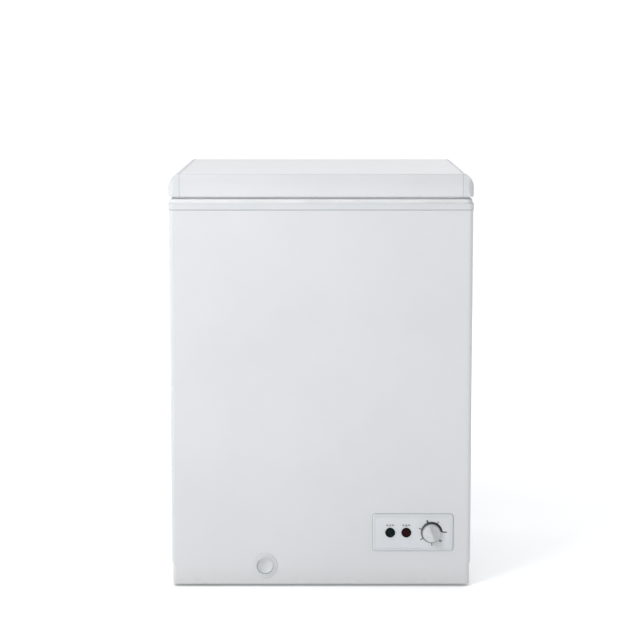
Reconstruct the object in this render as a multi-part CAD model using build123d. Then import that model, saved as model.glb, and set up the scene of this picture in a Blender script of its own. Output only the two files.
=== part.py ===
from build123d import *

import os

# Compact chest freezer, about 127 litres, built as separate pieces on one shared frame, in millimetres.
# The origin is on the floor at the middle of the footprint, +Z is up, the front faces -Y and +X is to the right
# of somebody who faces the front. The lid is closed and the basket hangs at its right-hand stop.

# ---------------------------------------------------------------- cabinet
HALF_W = 306.0  # half the outer width
HALF_D = 260.0  # half the outer depth
SKIRT_Z = 6.0  # lowest edge of the outer sheet above the floor
RIM_Z = 776.0  # top edge of the outer sheet
SHEET = 1.0  # thickness of the painted sheet
CORNER_R = 9.0  # vertical corners
JOGGLE_Z = 50.0  # below this height the side sheets step in
JOGGLE = 2.0
BACK_OPEN_X = 290.0  # the sheet's rear flanges reach in to here
BACK_T = 0.8  # thickness of the rear panel
PLATE_Z = 12.0  # underside of the base plate
PLATE_T = 1.2
FOOT_X = 252.0
FOOT_Y = 212.0

# ---------------------------------------------------------------- storage space and foam
WALL = 55.0  # outer face of the cabinet to the inside of the liner
LINER_T = 1.0
LINER_R = 25.0  # vertical corners of the storage space
FLOOR_R = 10.0  # rounding between the well's floor and walls
WELL_Z = 75.0  # floor of the deep well
WELL_X = 50.0  # right-hand wall of the deep well
SHELF_Z = 322.0  # floor over the machine compartment
FOAM_Z = 766.0  # top of the foam
FOAM_GAP = 1.3  # outer face of the cabinet to the foam
FOAM_R = 7.7

# ---------------------------------------------------------------- collar on the cabinet's rim
# Places across the collar are distances in from the cabinet's outer face.
DECK_Z = 788.0  # the gasket seals here
LIP = 1.0  # the outer band stands this far proud
DECK_IN = 46.0
LEDGE_IN = 57.5  # inner edge of the ledge that carries the basket
LEDGE_Z = 770.0

# ---------------------------------------------------------------- lid
LID_LOW = 802.0
LID_TOP = 848.0
LID_FRONT = -262.5
LID_BOW = 2.0  # how far the front swells at mid-height
LID_REAR = 258.0
CREASE_R = 5.0
SKIN_T = 0.8
SEAM_X = 284.5  # joint between the steel skin and each end cap
CAP_X = 307.0  # outermost point of an end cap
CAP_PROUD = 0.5
CAP_T = 2.5
CAP_PLAN_R = 14.0
SHOULDER_X = 23.0  # half axes of the end cap's rounded shoulder
SHOULDER_Z = 33.5
PLATEAU_X = 236.0  # raised middle of the lid's inner panel
PLATEAU_Y = 190.0
PLATEAU_Z = 782.0

# ---------------------------------------------------------------- hinges
AXIS_Y = 271.0
AXIS_Z = 795.0
HINGE_XS = (-190.0, 190.0)
PIN_R = 3.0
CHEEK_R = 7.5
CHEEK_IN = 23.0  # inner face of a bracket's cheek from the bracket's middle
EAR_IN = 18.0  # inner face of an arm's ear from the arm's middle
HINGE_T = 2.0

# ---------------------------------------------------------------- controls, low on the right of the front
CONTROL_Z = 114.0
PANEL_X = 187.4
PANEL_W = 164.0
PANEL_H = 76.0
PANEL_T = 2.5
CUTOUT_W = 148.0
CUTOUT_H = 62.0
LAMP_XS = (141.0, 174.0)
LAMP_R = 10.0
KNOB_X = 225.5
SKIRT_R = 19.6  # thin flange under the knob's cap
KNOB_R = 19.0
POINTER_DEG = 110.0  # from +X towards +Z

# ---------------------------------------------------------------- drain, low on the left of the front
DRAIN_X = -114.7
DRAIN_Z = 44.0
DRAIN_Y = -165.0  # hole in the well's floor
DRAIN_BORE = 7.5
DRAIN_TUBE_R = 10.0
DRAIN_HOLE_R = 19.4

# ---------------------------------------------------------------- machine compartment, low on the right
BAY_X = 105.0  # its left wall
BAY_Z = 270.0  # its ceiling
COVER_X = 102.5
COVER_Z = 269.5
COMP_X = 206.0
COMP_Y = 130.0
COMP_Z = 48.0
COMP_R = 68.0
COMP_H = 157.0
MOUNT_DX = 80.0
MOUNT_DY = 50.0
VENT_Y = (70.0, 200.0)
VENT_Z = (90.0, 190.0)
GLAND = (270.0, 50.0)  # X and Z of the supply cord's entry

# ---------------------------------------------------------------- pipes
EVAP_R = 4.0
EVAP_IN = 49.8  # its centre line, in from the cabinet's outer face
EVAP_WELL_X = 63.2  # its centre line beside the well
EVAP_BEND = 10.0
COND_R = 2.5
COND_IN = 6.0
EVAP_START = (112.0, 195.0, 110.0)
EVAP_END = (140.0, 236.0, 262.0)
COND_START = (290.0, 226.0, 250.0)
COND_END = (290.0, 244.0, 240.0)
SENSOR_Y = -150.0
SENSOR_Z = 185.0

# ---------------------------------------------------------------- basket
BASKET_X = 145.0
BASKET_W = 196.0
BASKET_D = 384.0
BASKET_Z = 590.0
RAIL_R = 3.0
RAIL_Z = LEDGE_Z + RAIL_R + 0.2
WIRE_R = 1.5
WIRE_STEP = 2.7  # crossing wires lie this far apart, so that they are welded into each other
MESH_PITCH = 28.0

BELOW = (Align.CENTER, Align.CENTER, Align.MIN)


# ---------------------------------------------------------------- makers that many sub-parts share
def block(x0, x1, y0, y1, z0, z1):
    """A box between two corners."""
    return Pos((x0 + x1) / 2, (y0 + y1) / 2, (z0 + z1) / 2) * Box(x1 - x0, y1 - y0, z1 - z0)


def prism(x0, x1, y0, y1, z0, z1, radius):
    """A box whose vertical edges are rounded."""
    outline = RectangleRounded(x1 - x0, y1 - y0, radius)
    return Pos((x0 + x1) / 2, (y0 + y1) / 2, z0) * extrude(outline, z1 - z0)


def plan(inset, z0, z1, radius):
    """The cabinet's footprint, taken in by inset, between two heights."""
    return prism(-HALF_W + inset, HALF_W - inset, -HALF_D + inset, HALF_D - inset, z0, z1, radius)


def frame(outer, outer_r, inner, inner_r, z0, z1):
    """A level frame between two distances in from the cabinet's outer face."""
    return plan(outer, z0, z1, outer_r) - plan(inner, z0 - 1, z1 + 1, inner_r)


def throat_r(inset):
    """Corner radius that keeps a frame's edge parallel with the storage space."""
    return LINER_R + WALL - inset


def disc(centre, axis, radius, length):
    """A round bar that starts at centre and grows along axis."""
    return extrude(Plane(origin=centre, z_dir=axis) * Circle(radius), length)


def pipe(points, bend, radius):
    """A round bar along straight runs joined by tangent arcs."""
    path = FilletPolyline(*points, radius=bend)
    return sweep(Plane(origin=path @ 0, z_dir=path % 0) * Circle(radius), path=path)


def rod(start, end, radius):
    """A straight round bar."""
    start, end = Vector(*start), Vector(*end)
    return disc(start, end - start, radius, (end - start).length)


def group(solids):
    """Separate solids that share one node."""
    return Compound(children=[solid for part in solids for solid in part.solids()])


def mirrored(part):
    return mirror(part, about=Plane.YZ)


# ---------------------------------------------------------------- cabinet shell
def storage(grow):
    """The storage space, grown outwards: a deep well on the left and a shelf over the machine compartment."""
    half_x = HALF_W - WALL + grow
    half_y = HALF_D - WALL + grow
    corner = LINER_R + grow
    upper = prism(-half_x, half_x, -half_y, half_y, SHELF_Z - grow, RIM_Z + 20, corner)
    well = block(-half_x, WELL_X + grow, -half_y, half_y, WELL_Z - grow, SHELF_Z + 60)
    well = fillet(well.edges().filter_by(Axis.Z).group_by(Axis.X)[0], corner)
    well = fillet(well.faces().sort_by(Axis.Z)[0].edges(), FLOOR_R + grow)
    return upper + well


def outer_form(inset, low, top):
    """The cabinet's outer form, taken in by inset, with the step low on its sides."""
    upper = plan(inset, JOGGLE_Z + inset, top, CORNER_R - inset)
    half_x = HALF_W - JOGGLE - inset
    half_y = HALF_D - inset
    return upper + prism(-half_x, half_x, -half_y, half_y, low, JOGGLE_Z + inset, CORNER_R - inset)


def cabinet_wrapper():
    """Front and side sheets in one piece, open at the back between two flanges."""
    shell = outer_form(0, SKIRT_Z, RIM_Z) - outer_form(SHEET, SKIRT_Z - 1, RIM_Z + 1)
    shell -= block(-BACK_OPEN_X, BACK_OPEN_X, HALF_D - 3, HALF_D + 3, 0, RIM_Z + 1)
    half_w, half_h = CUTOUT_W / 2, CUTOUT_H / 2
    front = (-HALF_D - 2, -HALF_D + 5)
    shell -= block(PANEL_X - half_w, PANEL_X + half_w, *front, CONTROL_Z - half_h, CONTROL_Z + half_h)
    shell -= disc((DRAIN_X, -HALF_D - 2, DRAIN_Z), (0, 1, 0), DRAIN_HOLE_R, 6)
    shell -= block(HALF_W - 6, HALF_W + 6, *VENT_Y, *VENT_Z)
    for x, z in COVER_SCREWS:
        shell -= disc((x, HALF_D - 3, z), (0, 1, 0), 1.9, 6)
    return shell


def rear_panel():
    """Flat sheet behind the foam with three pressed ribs, cut away behind the machine compartment."""
    sheet = block(-HALF_W + 1, HALF_W - 1, HALF_D, HALF_D + BACK_T, 8, RIM_Z - 2)
    rib = extrude(SlotOverall(330, 18, rotation=90), 1.4)
    rib = fillet(rib.faces().sort_by(Axis.Z)[-1].edges(), 1.0)
    for x in (-215, 0, 215):
        sheet += Plane(origin=(x, HALF_D + BACK_T, 480), x_dir=(-1, 0, 0), z_dir=(0, 1, 0)) * rib
    sheet -= block(COVER_X - 0.5, HALF_W, HALF_D - 5, HALF_D + 5, 0, COVER_Z + 0.5)
    for x, z in bracket_screw_places():
        sheet -= disc((x, HALF_D - 5, z), (0, 1, 0), 2.5, 10)
    return sheet


def base_plate():
    """Steel floor with a turned-down edge, air slots, and holes for the feet and the compressor's bolts."""
    half_x = HALF_W - JOGGLE - FOAM_GAP
    half_y = HALF_D - FOAM_GAP
    plate = prism(-half_x, half_x, -half_y, half_y, PLATE_Z - 5, PLATE_Z + PLATE_T, 7)
    hollow_x, hollow_y = half_x - PLATE_T, half_y - PLATE_T
    plate -= prism(-hollow_x, hollow_x, -hollow_y, hollow_y, 0, PLATE_Z, 6)
    for k in range(7):
        plate -= Pos(COMP_X, -200 + 30 * k, 0) * extrude(SlotOverall(110, 9), 40)
    for x in (-FOOT_X, FOOT_X):
        for y in (-FOOT_Y, FOOT_Y):
            plate -= Pos(x, y, 0) * Cylinder(3.2, 40)
    for x, y in compressor_mounts():
        plate -= Pos(x, y, 0) * Cylinder(3.2, 40)
    return plate


def foot():
    """Moulded foot with a stud that is pushed into the base plate."""
    pad = Cylinder(21, 4, align=BELOW)
    pad = fillet(pad.edges().sort_by(Axis.Z)[-1], 1.5)
    pad += Pos(0, 0, 3.5) * Cone(17, 14, PLATE_Z - 3.5, align=BELOW)
    return pad + Cylinder(3.1, PLATE_Z + PLATE_T, align=BELOW)


def feet():
    return group([Pos(x, y, 0) * foot() for x in (-FOOT_X, FOOT_X) for y in (-FOOT_Y, FOOT_Y)])


def compressor_bulkhead():
    """Steel step between the foam and the machine compartment, with holes for the pipes."""
    low, back = PLATE_Z + PLATE_T, HALF_D - FOAM_GAP
    wall = block(BAY_X, BAY_X + 1, -back, back, low, BAY_Z + 1)
    wall += block(BAY_X, HALF_W - FOAM_GAP, -back, back, BAY_Z, BAY_Z + 1)
    wall += block(BAY_X, BAY_X + 15, back - 1, back, low, BAY_Z)
    wall = wall & prism(-HALF_W + FOAM_GAP, HALF_W - FOAM_GAP, -back, back, low, BAY_Z + 1, FOAM_R)
    wall -= disc((BAY_X - 5, EVAP_START[1], EVAP_START[2]), (1, 0, 0), EVAP_R + 0.6, 10)
    wall -= disc((BAY_X - 5, SENSOR_Y, SENSOR_Z), (1, 0, 0), 1.8, 10)
    wall -= disc((EVAP_END[0], EVAP_END[1], BAY_Z - 5), (0, 0, 1), EVAP_R + 0.6, 10)
    for x, y, _ in (COND_START, COND_END):
        wall -= disc((x, y, BAY_Z - 5), (0, 0, 1), COND_R + 0.6, 10)
    for x, z in COVER_SCREWS:
        wall -= disc((x, HALF_D - 5, z), (0, 1, 0), 1.9, 10)
    return wall


def cabinet_insulation(pipes):
    """Foamed-in insulation between the sheets and the liner, with room left for the pipes inside it."""
    half_x, half_y, low = HALF_W - FOAM_GAP, HALF_D - FOAM_GAP, PLATE_Z + PLATE_T
    foam = prism(-half_x, half_x, -half_y, half_y, JOGGLE_Z + 2, FOAM_Z, FOAM_R)
    foam += prism(-half_x + JOGGLE, half_x - JOGGLE, -half_y, half_y, low, JOGGLE_Z + 2, FOAM_R)
    foam -= block(BAY_X, HALF_W + 5, -HALF_D, HALF_D, 0, BAY_Z + 1)
    foam -= storage(LINER_T)
    foam -= disc((DRAIN_X, -HALF_D - 5, DRAIN_Z), (0, 1, 0), DRAIN_HOLE_R, 5 + 20)
    foam -= drain_run(DRAIN_TUBE_R)
    for x, z in bracket_screw_places():
        foam -= disc((x, HALF_D - 16, z), (0, 1, 0), 2.5, 20)
    for hidden in pipes:
        foam -= hidden
    return foam


def inner_liner():
    """Embossed aluminium tub with a turned-out top flange and a drain hole in the well's floor."""
    tub = storage(LINER_T) - storage(0)
    tub -= block(-400, 400, -400, 400, FOAM_Z + 1, RIM_Z + 40)
    tub += frame(WALL - 8, throat_r(WALL - 8), WALL - 0.5, throat_r(WALL - 0.5), FOAM_Z, FOAM_Z + 1)
    return tub - disc((DRAIN_X, DRAIN_Y, WELL_Z - 5), (0, 0, 1), DRAIN_BORE, 10)


def top_collar():
    """Moulded frame on the rim: outer band, deck for the gasket, inner wall, and a ledge for the basket."""
    collar = frame(-LIP, CORNER_R + LIP, 2, 7, RIM_Z, DECK_Z)
    collar += frame(1.3, 7.7, 3.5, 5.5, FOAM_Z, DECK_Z - 1)
    collar += frame(1.5, 7.5, DECK_IN, throat_r(DECK_IN), DECK_Z - 3, DECK_Z)
    collar += frame(DECK_IN - 3, throat_r(DECK_IN - 3), DECK_IN, throat_r(DECK_IN), LEDGE_Z - 3, DECK_Z - 1)
    collar += frame(DECK_IN - 3, throat_r(DECK_IN - 3), LEDGE_IN, throat_r(LEDGE_IN), LEDGE_Z - 3, LEDGE_Z)
    lip_in = WALL + 0.3
    return collar + frame(lip_in, throat_r(lip_in), LEDGE_IN, throat_r(LEDGE_IN), LEDGE_Z - 12, LEDGE_Z - 1)


# ---------------------------------------------------------------- refrigeration circuit
def evaporator_coil():
    """Tube wound round the outside of the liner: four turns round the well, then six round the whole tub."""
    side, end = HALF_W - EVAP_IN, HALF_D - EVAP_IN
    points = [EVAP_START, (EVAP_WELL_X, EVAP_START[1], EVAP_START[2])]
    for z in (110, 160, 210, 260):
        points += [(EVAP_WELL_X, -end, z), (-side, -end, z), (-side, end, z)]
        if z < 260:
            points.append((EVAP_WELL_X, end, z + 50))
    for z in (350, 420, 490, 560, 630, 700):
        points += [(side, end, z), (side, -end, z), (-side, -end, z)]
        if z < 700:
            points.append((-side, end, z))
    points += [(-side, EVAP_END[1], 700), (EVAP_END[0], EVAP_END[1], 690), EVAP_END]
    return pipe(points, EVAP_BEND, EVAP_R)


def condenser_coil():
    """Tube run back and forth against the inside of the side sheets and the front sheet."""
    side, front, back = HALF_W - COND_IN, -HALF_D + COND_IN, COND_START[1]
    points = [COND_START, (COND_START[0], back, 275)]
    for k in range(8):
        z = 310 + 60 * k
        near = side if k % 2 == 0 else -side
        points += [(near, back, z), (near, front, z), (-near, front, z)]
        if k < 7:
            points.append((-near, back, z))
    points += [(side, COND_END[1], 730), (COND_END[0], COND_END[1], 290), COND_END]
    return pipe(points, 10, COND_R)


def compressor_mounts():
    return [(COMP_X + dx, COMP_Y + dy) for dx in (-MOUNT_DX, MOUNT_DX) for dy in (-MOUNT_DY, MOUNT_DY)]


def drum(inset):
    """The compressor's domed drum, taken in by inset."""
    form = Pos(COMP_X, COMP_Y, COMP_Z + inset) * Cylinder(COMP_R - inset, COMP_H - 2 * inset, align=BELOW)
    form = fillet(form.faces().sort_by(Axis.Z)[-1].edges(), 42 - inset)
    return fillet(form.faces().sort_by(Axis.Z)[0].edges(), 24 - inset)


def compressor_shell():
    """Welded two-part drum on its foot plate."""
    seam = Pos(COMP_X, COMP_Y, COMP_Z + 70) * Cylinder(COMP_R + 3, 4, align=BELOW)
    plate = prism(COMP_X - 92, COMP_X + 92, COMP_Y - 62, COMP_Y + 62, 43, 46, 14)
    for x, y in compressor_mounts():
        plate -= Pos(x, y, 44) * Cylinder(6.2, 20)
    stand = Pos(COMP_X, COMP_Y, 45) * Cylinder(42, 10, align=BELOW)
    return drum(0) + seam + plate + stand - drum(3)


def compressor_motor():
    """Motor and pump block hung inside the drum: a round stator with a smaller pump body over it."""
    block_form = Pos(COMP_X, COMP_Y, COMP_Z + 14) * Cylinder(50, 66, align=BELOW)
    block_form = fillet(block_form.edges(), 5)
    return block_form + Pos(COMP_X, COMP_Y, COMP_Z + 78) * Cylinder(30, 40, align=BELOW)


def compressor_grommets():
    """Rubber mounts with a waist that the foot plate sits in."""
    low = PLATE_Z + PLATE_T + 11
    body = Cylinder(11, 43 - low, align=BELOW) + Cylinder(6.2, 46 - low, align=BELOW)
    body += Pos(0, 0, 46 - low) * Cylinder(9, 4, align=BELOW)
    body -= Cylinder(3.2, 100)
    return group([Pos(x, y, low) * body for x, y in compressor_mounts()])


def compressor_bolts():
    """Hexagon bolts with washers, down through the grommets, the rails and the base plate."""
    low = PLATE_Z - 4
    bolt = Cylinder(3, 50 - low, align=BELOW) + Pos(0, 0, 50 - low) * Cylinder(9, 1.5, align=BELOW)
    bolt += Pos(0, 0, 51.5 - low) * extrude(RegularPolygon(5.7, 6), 4)
    bolt += Pos(0, 0, -1) * extrude(RegularPolygon(5.7, 6), 5)
    return group([Pos(x, y, low) * bolt for x, y in compressor_mounts()])


def compressor_rails():
    """Two steel channels that carry the compressor's weight to the base plate."""
    low = PLATE_Z + PLATE_T
    rails = []
    for dy in (-MOUNT_DY, MOUNT_DY):
        y = COMP_Y + dy
        rail = block(COMP_X - 96, COMP_X + 95, y - 15, y + 15, low, low + 11)
        rail -= block(COMP_X - 99, COMP_X + 99, y - 13.5, y + 13.5, low - 1, low + 9.5)
        for dx in (-MOUNT_DX, MOUNT_DX):
            rail -= Pos(COMP_X + dx, y, low) * Cylinder(3.2, 40)
        rails.append(rail)
    return group(rails)


def compressor_terminal_cover():
    """Moulded box over the compressor's terminals and starting relay."""
    cover = prism(COMP_X - 28, COMP_X + 28, 38, 90, 62, 114, 5)
    cover = fillet(cover.faces().sort_by(Axis.Z)[-1].edges(), 3)
    return cover - Pos(COMP_X, COMP_Y, 0) * Cylinder(COMP_R + 0.2, 500)


def filter_drier():
    """Copper drier with a necked end at each pipe."""
    x, y, top = COND_END
    can = Pos(x, y, top - 84) * Cylinder(9, 70, align=BELOW)
    can = fillet(can.edges(), 4)
    can += Pos(x, y, top - 92) * Cylinder(2.2, 20, align=BELOW)
    return can + Pos(x, y, top - 20) * Cylinder(3.4, 20, align=BELOW)


def shell_form():
    """The compressor's drum without its seam, used to end each pipe at its wall."""
    return Pos(COMP_X, COMP_Y, COMP_Z) * Cylinder(COMP_R, COMP_H, align=BELOW)


def discharge_pipe():
    x, y, z = COND_START
    points = [(COMP_X + 50, COMP_Y, 150), (x, COMP_Y, 150), (x, y, 165), COND_START]
    return pipe(points, 10, 3) - shell_form()


def suction_pipe():
    x, y, _ = EVAP_END
    points = [EVAP_END, (x, y, 200), (118, 140, 150), (COMP_X - 40, COMP_Y, 150)]
    return pipe(points, 12, EVAP_R) - shell_form()


def capillary_tube():
    """Fine copper tube from the drier to the evaporator."""
    x, y, z = COND_END[0], COND_END[1], COND_END[2] - 92
    points = [(x, y, z), (x, y, 76), (132, y, 76), (132, EVAP_START[1], 110), EVAP_START]
    return pipe(points, 8, 1.2)


# ---------------------------------------------------------------- machine compartment's covers and wiring
COVER_SCREWS = [(x, z) for x in (112.0, 297.0) for z in (30.0, 140.0, 250.0)]


def machine_rear_cover():
    """Sheet cover with rows of air slots, and a hole for the cord's gland."""
    cover = block(COVER_X, 302, HALF_D, HALF_D + 1, 9, COVER_Z)
    slot = extrude(Plane.XZ.offset(-HALF_D - 3) * SlotOverall(70, 6), 6)
    for x in (160, 244):
        for k in range(9):
            cover -= Pos(x, 0, 90 + 18 * k) * slot
    cover -= disc((GLAND[0], HALF_D - 3, GLAND[1]), (0, 1, 0), 8, 6)
    for x, z in COVER_SCREWS:
        cover -= disc((x, HALF_D - 3, z), (0, 1, 0), 1.9, 6)
    return cover


def pan_screw(x, y, z, shank, length, head, height):
    """Pan-head screw driven towards -Y, with its head's underside at y."""
    body = disc((x, y, z), (0, -1, 0), shank, length) + disc((x, y, z), (0, 1, 0), head, height)
    body = fillet(body.faces().sort_by(Axis.Y)[-1].edges(), height * 0.45)
    recess = block(x - head * 0.55, x + head * 0.55, y + height * 0.5, y + height + 1, z - 0.5, z + 0.5)
    recess += block(x - 0.5, x + 0.5, y + height * 0.5, y + height + 1, z - head * 0.55, z + head * 0.55)
    return body - recess


def cover_screws():
    return group([pan_screw(x, HALF_D + 1, z, 1.8, 5, 4.2, 2.2) for x, z in COVER_SCREWS])


def side_vent_grille():
    """Moulded grille in the right-hand sheet."""
    y0, y1 = VENT_Y
    z0, z1 = VENT_Z
    grille = block(HALF_W - 3.5, HALF_W, y0 + 0.4, y1 - 0.4, z0 + 0.4, z1 - 0.4)
    grille += block(HALF_W, CAP_X, y0 - 6, y1 + 6, z0 - 6, z1 + 6)
    slot = extrude(Plane.YZ.offset(HALF_W - 8) * SlotOverall(y1 - y0 - 16, 5), 16)
    for k in range(9):
        grille -= Pos(0, (y0 + y1) / 2, z0 + 10 + 10 * k) * slot
    return grille


def cord_gland():
    """Bushing that the supply cord enters through."""
    x, z = GLAND
    bush = disc((x, HALF_D - 8, z), (0, 1, 0), 7.8, 9) + disc((x, HALF_D + 1, z), (0, 1, 0), 11, 3)
    bush += disc((x, HALF_D + 3, z), (0, 1, 0), 8, 6)
    bush = fillet(bush.faces().sort_by(Axis.Y)[-1].outer_wire().edges(), 1.2)
    return bush - disc((x, HALF_D - 20, z), (0, 1, 0), 4.5, 60)


def wiring_harness():
    """Sleeved leads: control box to the compressor's terminals, and supply entry to the terminals."""
    box_back = -HALF_D + 48
    leads = [(165, box_back, 100), (165, -150, 100), (165, -90, 60), (200, -20, 60), (200, 5, 88), (200, 38, 88)]
    supply = [(GLAND[0], HALF_D - 16, GLAND[1]), (GLAND[0], 226, GLAND[1]), (289, 205, 62), (289, 10, 62)]
    supply += [(218, 0, 88), (218, 38, 88)]
    return group([pipe(leads, 12, 3.5), pipe(supply, 10, 3.5)])


# ---------------------------------------------------------------- front controls
def control_panel_bezel():
    """Front panel with a raised border line, lamp holes, a knob hole, and a rim behind it."""
    front = -HALF_D - PANEL_T
    face = Plane(origin=(PANEL_X, -HALF_D, CONTROL_Z), x_dir=(1, 0, 0), z_dir=(0, -1, 0))
    plate = extrude(RectangleRounded(PANEL_W, PANEL_H, 6), PANEL_T)
    plate = fillet(plate.faces().sort_by(Axis.Z)[-1].edges(), 1.2)
    groove = RectangleRounded(PANEL_W - 7, PANEL_H - 7, 4) - RectangleRounded(PANEL_W - 10, PANEL_H - 10, 3)
    plate -= Pos(0, 0, PANEL_T - 0.7) * extrude(groove, 2)
    rim = RectangleRounded(CUTOUT_W - 0.6, CUTOUT_H - 0.6, 2) - RectangleRounded(CUTOUT_W - 5, CUTOUT_H - 5, 0.5)
    plate += extrude(rim, -8)
    panel = face * plate
    for x in LAMP_XS:
        panel -= disc((x, front - 1, CONTROL_Z), (0, 1, 0), 6.2, 10)
    return panel - disc((KNOB_X, front - 1, CONTROL_Z), (0, 1, 0), 3.4, 10)


def control_box():
    """Moulded housing behind the front panel."""
    back = -HALF_D + 48
    width, height = CUTOUT_W - 5.4, CUTOUT_H - 5.4
    x0, x1 = PANEL_X - width / 2, PANEL_X + width / 2
    z0, z1 = CONTROL_Z - height / 2, CONTROL_Z + height / 2
    box = block(x0, x1, -HALF_D + 0.5, back, z0, z1)
    box -= block(x0 + 2, x1 - 2, -HALF_D - 1, back - 2, z0 + 2, z1 - 2)
    box -= disc((165, back - 5, 100), (0, 1, 0), 3.6, 10)
    return box - disc((216, back - 5, 128), (0, 1, 0), 1.8, 10)


def thermostat_body():
    """Thermostat behind the panel, with the bush that its shaft turns in."""
    body = block(KNOB_X - 18, KNOB_X + 18, -248, -222, CONTROL_Z - 17, CONTROL_Z + 19)
    body = fillet(body.edges().filter_by(Axis.Y), 3)
    body += disc((KNOB_X, -HALF_D, CONTROL_Z), (0, 1, 0), 7, 14)
    return body - disc((KNOB_X, -HALF_D - 1, CONTROL_Z), (0, 1, 0), PIN_R + 0.05, 21)


def thermostat_sensor_tube():
    """Fine tube from the thermostat, through the bulkhead, to the liner's wall."""
    end_x = WELL_X + LINER_T + 3
    points = [(216, -222, 128), (216, -185, 128), (145, SENSOR_Y, SENSOR_Z), (end_x, SENSOR_Y, SENSOR_Z)]
    return pipe(points + [(end_x, -60, SENSOR_Z)], 12, 1.4)


def thermostat_shaft():
    front = -HALF_D - 13
    return disc((KNOB_X, front, CONTROL_Z), (0, 1, 0), PIN_R, 32)


def lamp_lens(x):
    """Domed lens with a stem that snaps through the panel."""
    front = -HALF_D - PANEL_T
    head = disc((x, front, CONTROL_Z), (0, -1, 0), LAMP_R, 2.6)
    head = fillet(head.faces().sort_by(Axis.Y)[0].edges(), 2.0)
    return head + disc((x, front, CONTROL_Z), (0, 1, 0), 6, 12)


def lamp_holders():
    holders = []
    for x in LAMP_XS:
        holder = disc((x, -HALF_D + 0.3, CONTROL_Z), (0, 1, 0), 9, 24)
        holders.append(holder - disc((x, -HALF_D - 1, CONTROL_Z), (0, 1, 0), 6.2, 12))
    return group(holders)


def knob_skirt():
    """Flange under the cap."""
    ring = disc((KNOB_X, -HALF_D - PANEL_T - 0.4, CONTROL_Z), (0, -1, 0), SKIRT_R, 4)
    return ring - disc((KNOB_X, -HALF_D, CONTROL_Z), (0, -1, 0), PIN_R, 20)


def knob_cap():
    """Round cap with a raised grip bar that points at the setting."""
    back = -HALF_D - PANEL_T - 4.4
    cap = disc((KNOB_X, back, CONTROL_Z), (0, -1, 0), KNOB_R, 6)
    cap = fillet(cap.faces().sort_by(Axis.Y)[0].edges(), 1.5)
    bar = Plane(origin=(KNOB_X, back, CONTROL_Z), x_dir=(1, 0, 0), z_dir=(0, -1, 0))
    bar *= Rot(0, 0, POINTER_DEG)
    grip = extrude(SlotOverall(2 * KNOB_R - 2.4, 10), 11.6)
    grip = fillet(grip.faces().sort_by(Axis.Z)[-1].edges(), 1.5)
    cap += bar * grip
    return cap - disc((KNOB_X, -HALF_D, CONTROL_Z), (0, -1, 0), PIN_R, 13)


# ---------------------------------------------------------------- drain
def drain_run(radius):
    """The drain's passage from the well's floor to the front."""
    points = [(DRAIN_X, DRAIN_Y, WELL_Z - LINER_T), (DRAIN_X, DRAIN_Y, DRAIN_Z), (DRAIN_X, -HALF_D + 20, DRAIN_Z)]
    return pipe(points, 16, radius)


def drain_tube():
    return drain_run(DRAIN_TUBE_R) - drain_run(DRAIN_BORE)


def drain_housing():
    """Round cup let into the front, with a raised lip round its mouth."""
    wall = disc((DRAIN_X, -HALF_D, DRAIN_Z), (0, 1, 0), DRAIN_HOLE_R - 0.4, 20)
    flange = disc((DRAIN_X, -HALF_D, DRAIN_Z), (0, -1, 0), 25, 2)
    flange = fillet(flange.faces().sort_by(Axis.Y)[0].edges(), 1.2)
    lip = disc((DRAIN_X, -HALF_D - 1.5, DRAIN_Z), (0, -1, 0), 20, 2)
    lip = fillet(lip.faces().sort_by(Axis.Y)[0].edges(), 0.8)
    cup = wall + flange + lip
    cup -= disc((DRAIN_X, -HALF_D + 18, DRAIN_Z), (0, -1, 0), 17.3, 40)
    return cup - disc((DRAIN_X, -HALF_D + 30, DRAIN_Z), (0, -1, 0), DRAIN_BORE, 60)


def drain_spout():
    """Pull-out spout that slides inside the drain tube."""
    spout = disc((DRAIN_X, -HALF_D + 7.5, DRAIN_Z), (0, 1, 0), DRAIN_BORE - 0.3, 58.5)
    return spout - disc((DRAIN_X, -HALF_D, DRAIN_Z), (0, 1, 0), 5.5, 80)


def drain_cap():
    """Push-in cap on the spout, deeply dished."""
    face = -HALF_D - 0.5
    cap = disc((DRAIN_X, face, DRAIN_Z), (0, 1, 0), 16.9, 8)
    cap = fillet(cap.faces().sort_by(Axis.Y)[0].edges(), 0.8)
    cap += disc((DRAIN_X, face + 8, DRAIN_Z), (0, 1, 0), 5.2, 5.5)
    return cap - Pos(DRAIN_X, face - 19.4, DRAIN_Z) * Sphere(24)


def liner_drain_plug():
    """Stopper with a low finger bar, in the well's floor."""
    plug = disc((DRAIN_X, DRAIN_Y, WELL_Z), (0, 0, 1), 12, 3)
    plug = fillet(plug.faces().sort_by(Axis.Z)[-1].edges(), 1.2)
    plug += Pos(DRAIN_X, DRAIN_Y, WELL_Z + 2) * extrude(SlotOverall(18, 5), 7)
    return plug + disc((DRAIN_X, DRAIN_Y, WELL_Z), (0, 0, -1), DRAIN_BORE - 0.3, 9)


# ---------------------------------------------------------------- lid
def lid_outline(grow):
    """Cross-section of the lid in the YZ plane, grown outwards, with a slightly bowed front."""
    crown = LID_FRONT + 0.5
    edges = Line((LID_FRONT, LID_LOW), (LID_REAR, LID_LOW)) + Line((LID_REAR, LID_LOW), (LID_REAR, LID_TOP))
    edges += Line((LID_REAR, LID_TOP), (crown, LID_TOP))
    middle = (LID_FRONT - LID_BOW, (LID_LOW + LID_TOP) / 2)
    edges += ThreePointArc((crown, LID_TOP), middle, (LID_FRONT, LID_LOW))
    outline = make_face(edges)
    outline = fillet(outline.vertices().group_by(Axis.Y)[-1], CREASE_R)
    return offset(outline, grow) if grow else outline


def lid_bar(grow, x0, x1):
    """The lid's cross-section, drawn out between two places across the width."""
    return extrude(Plane.YZ.offset(x0) * lid_outline(grow), x1 - x0)


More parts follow.
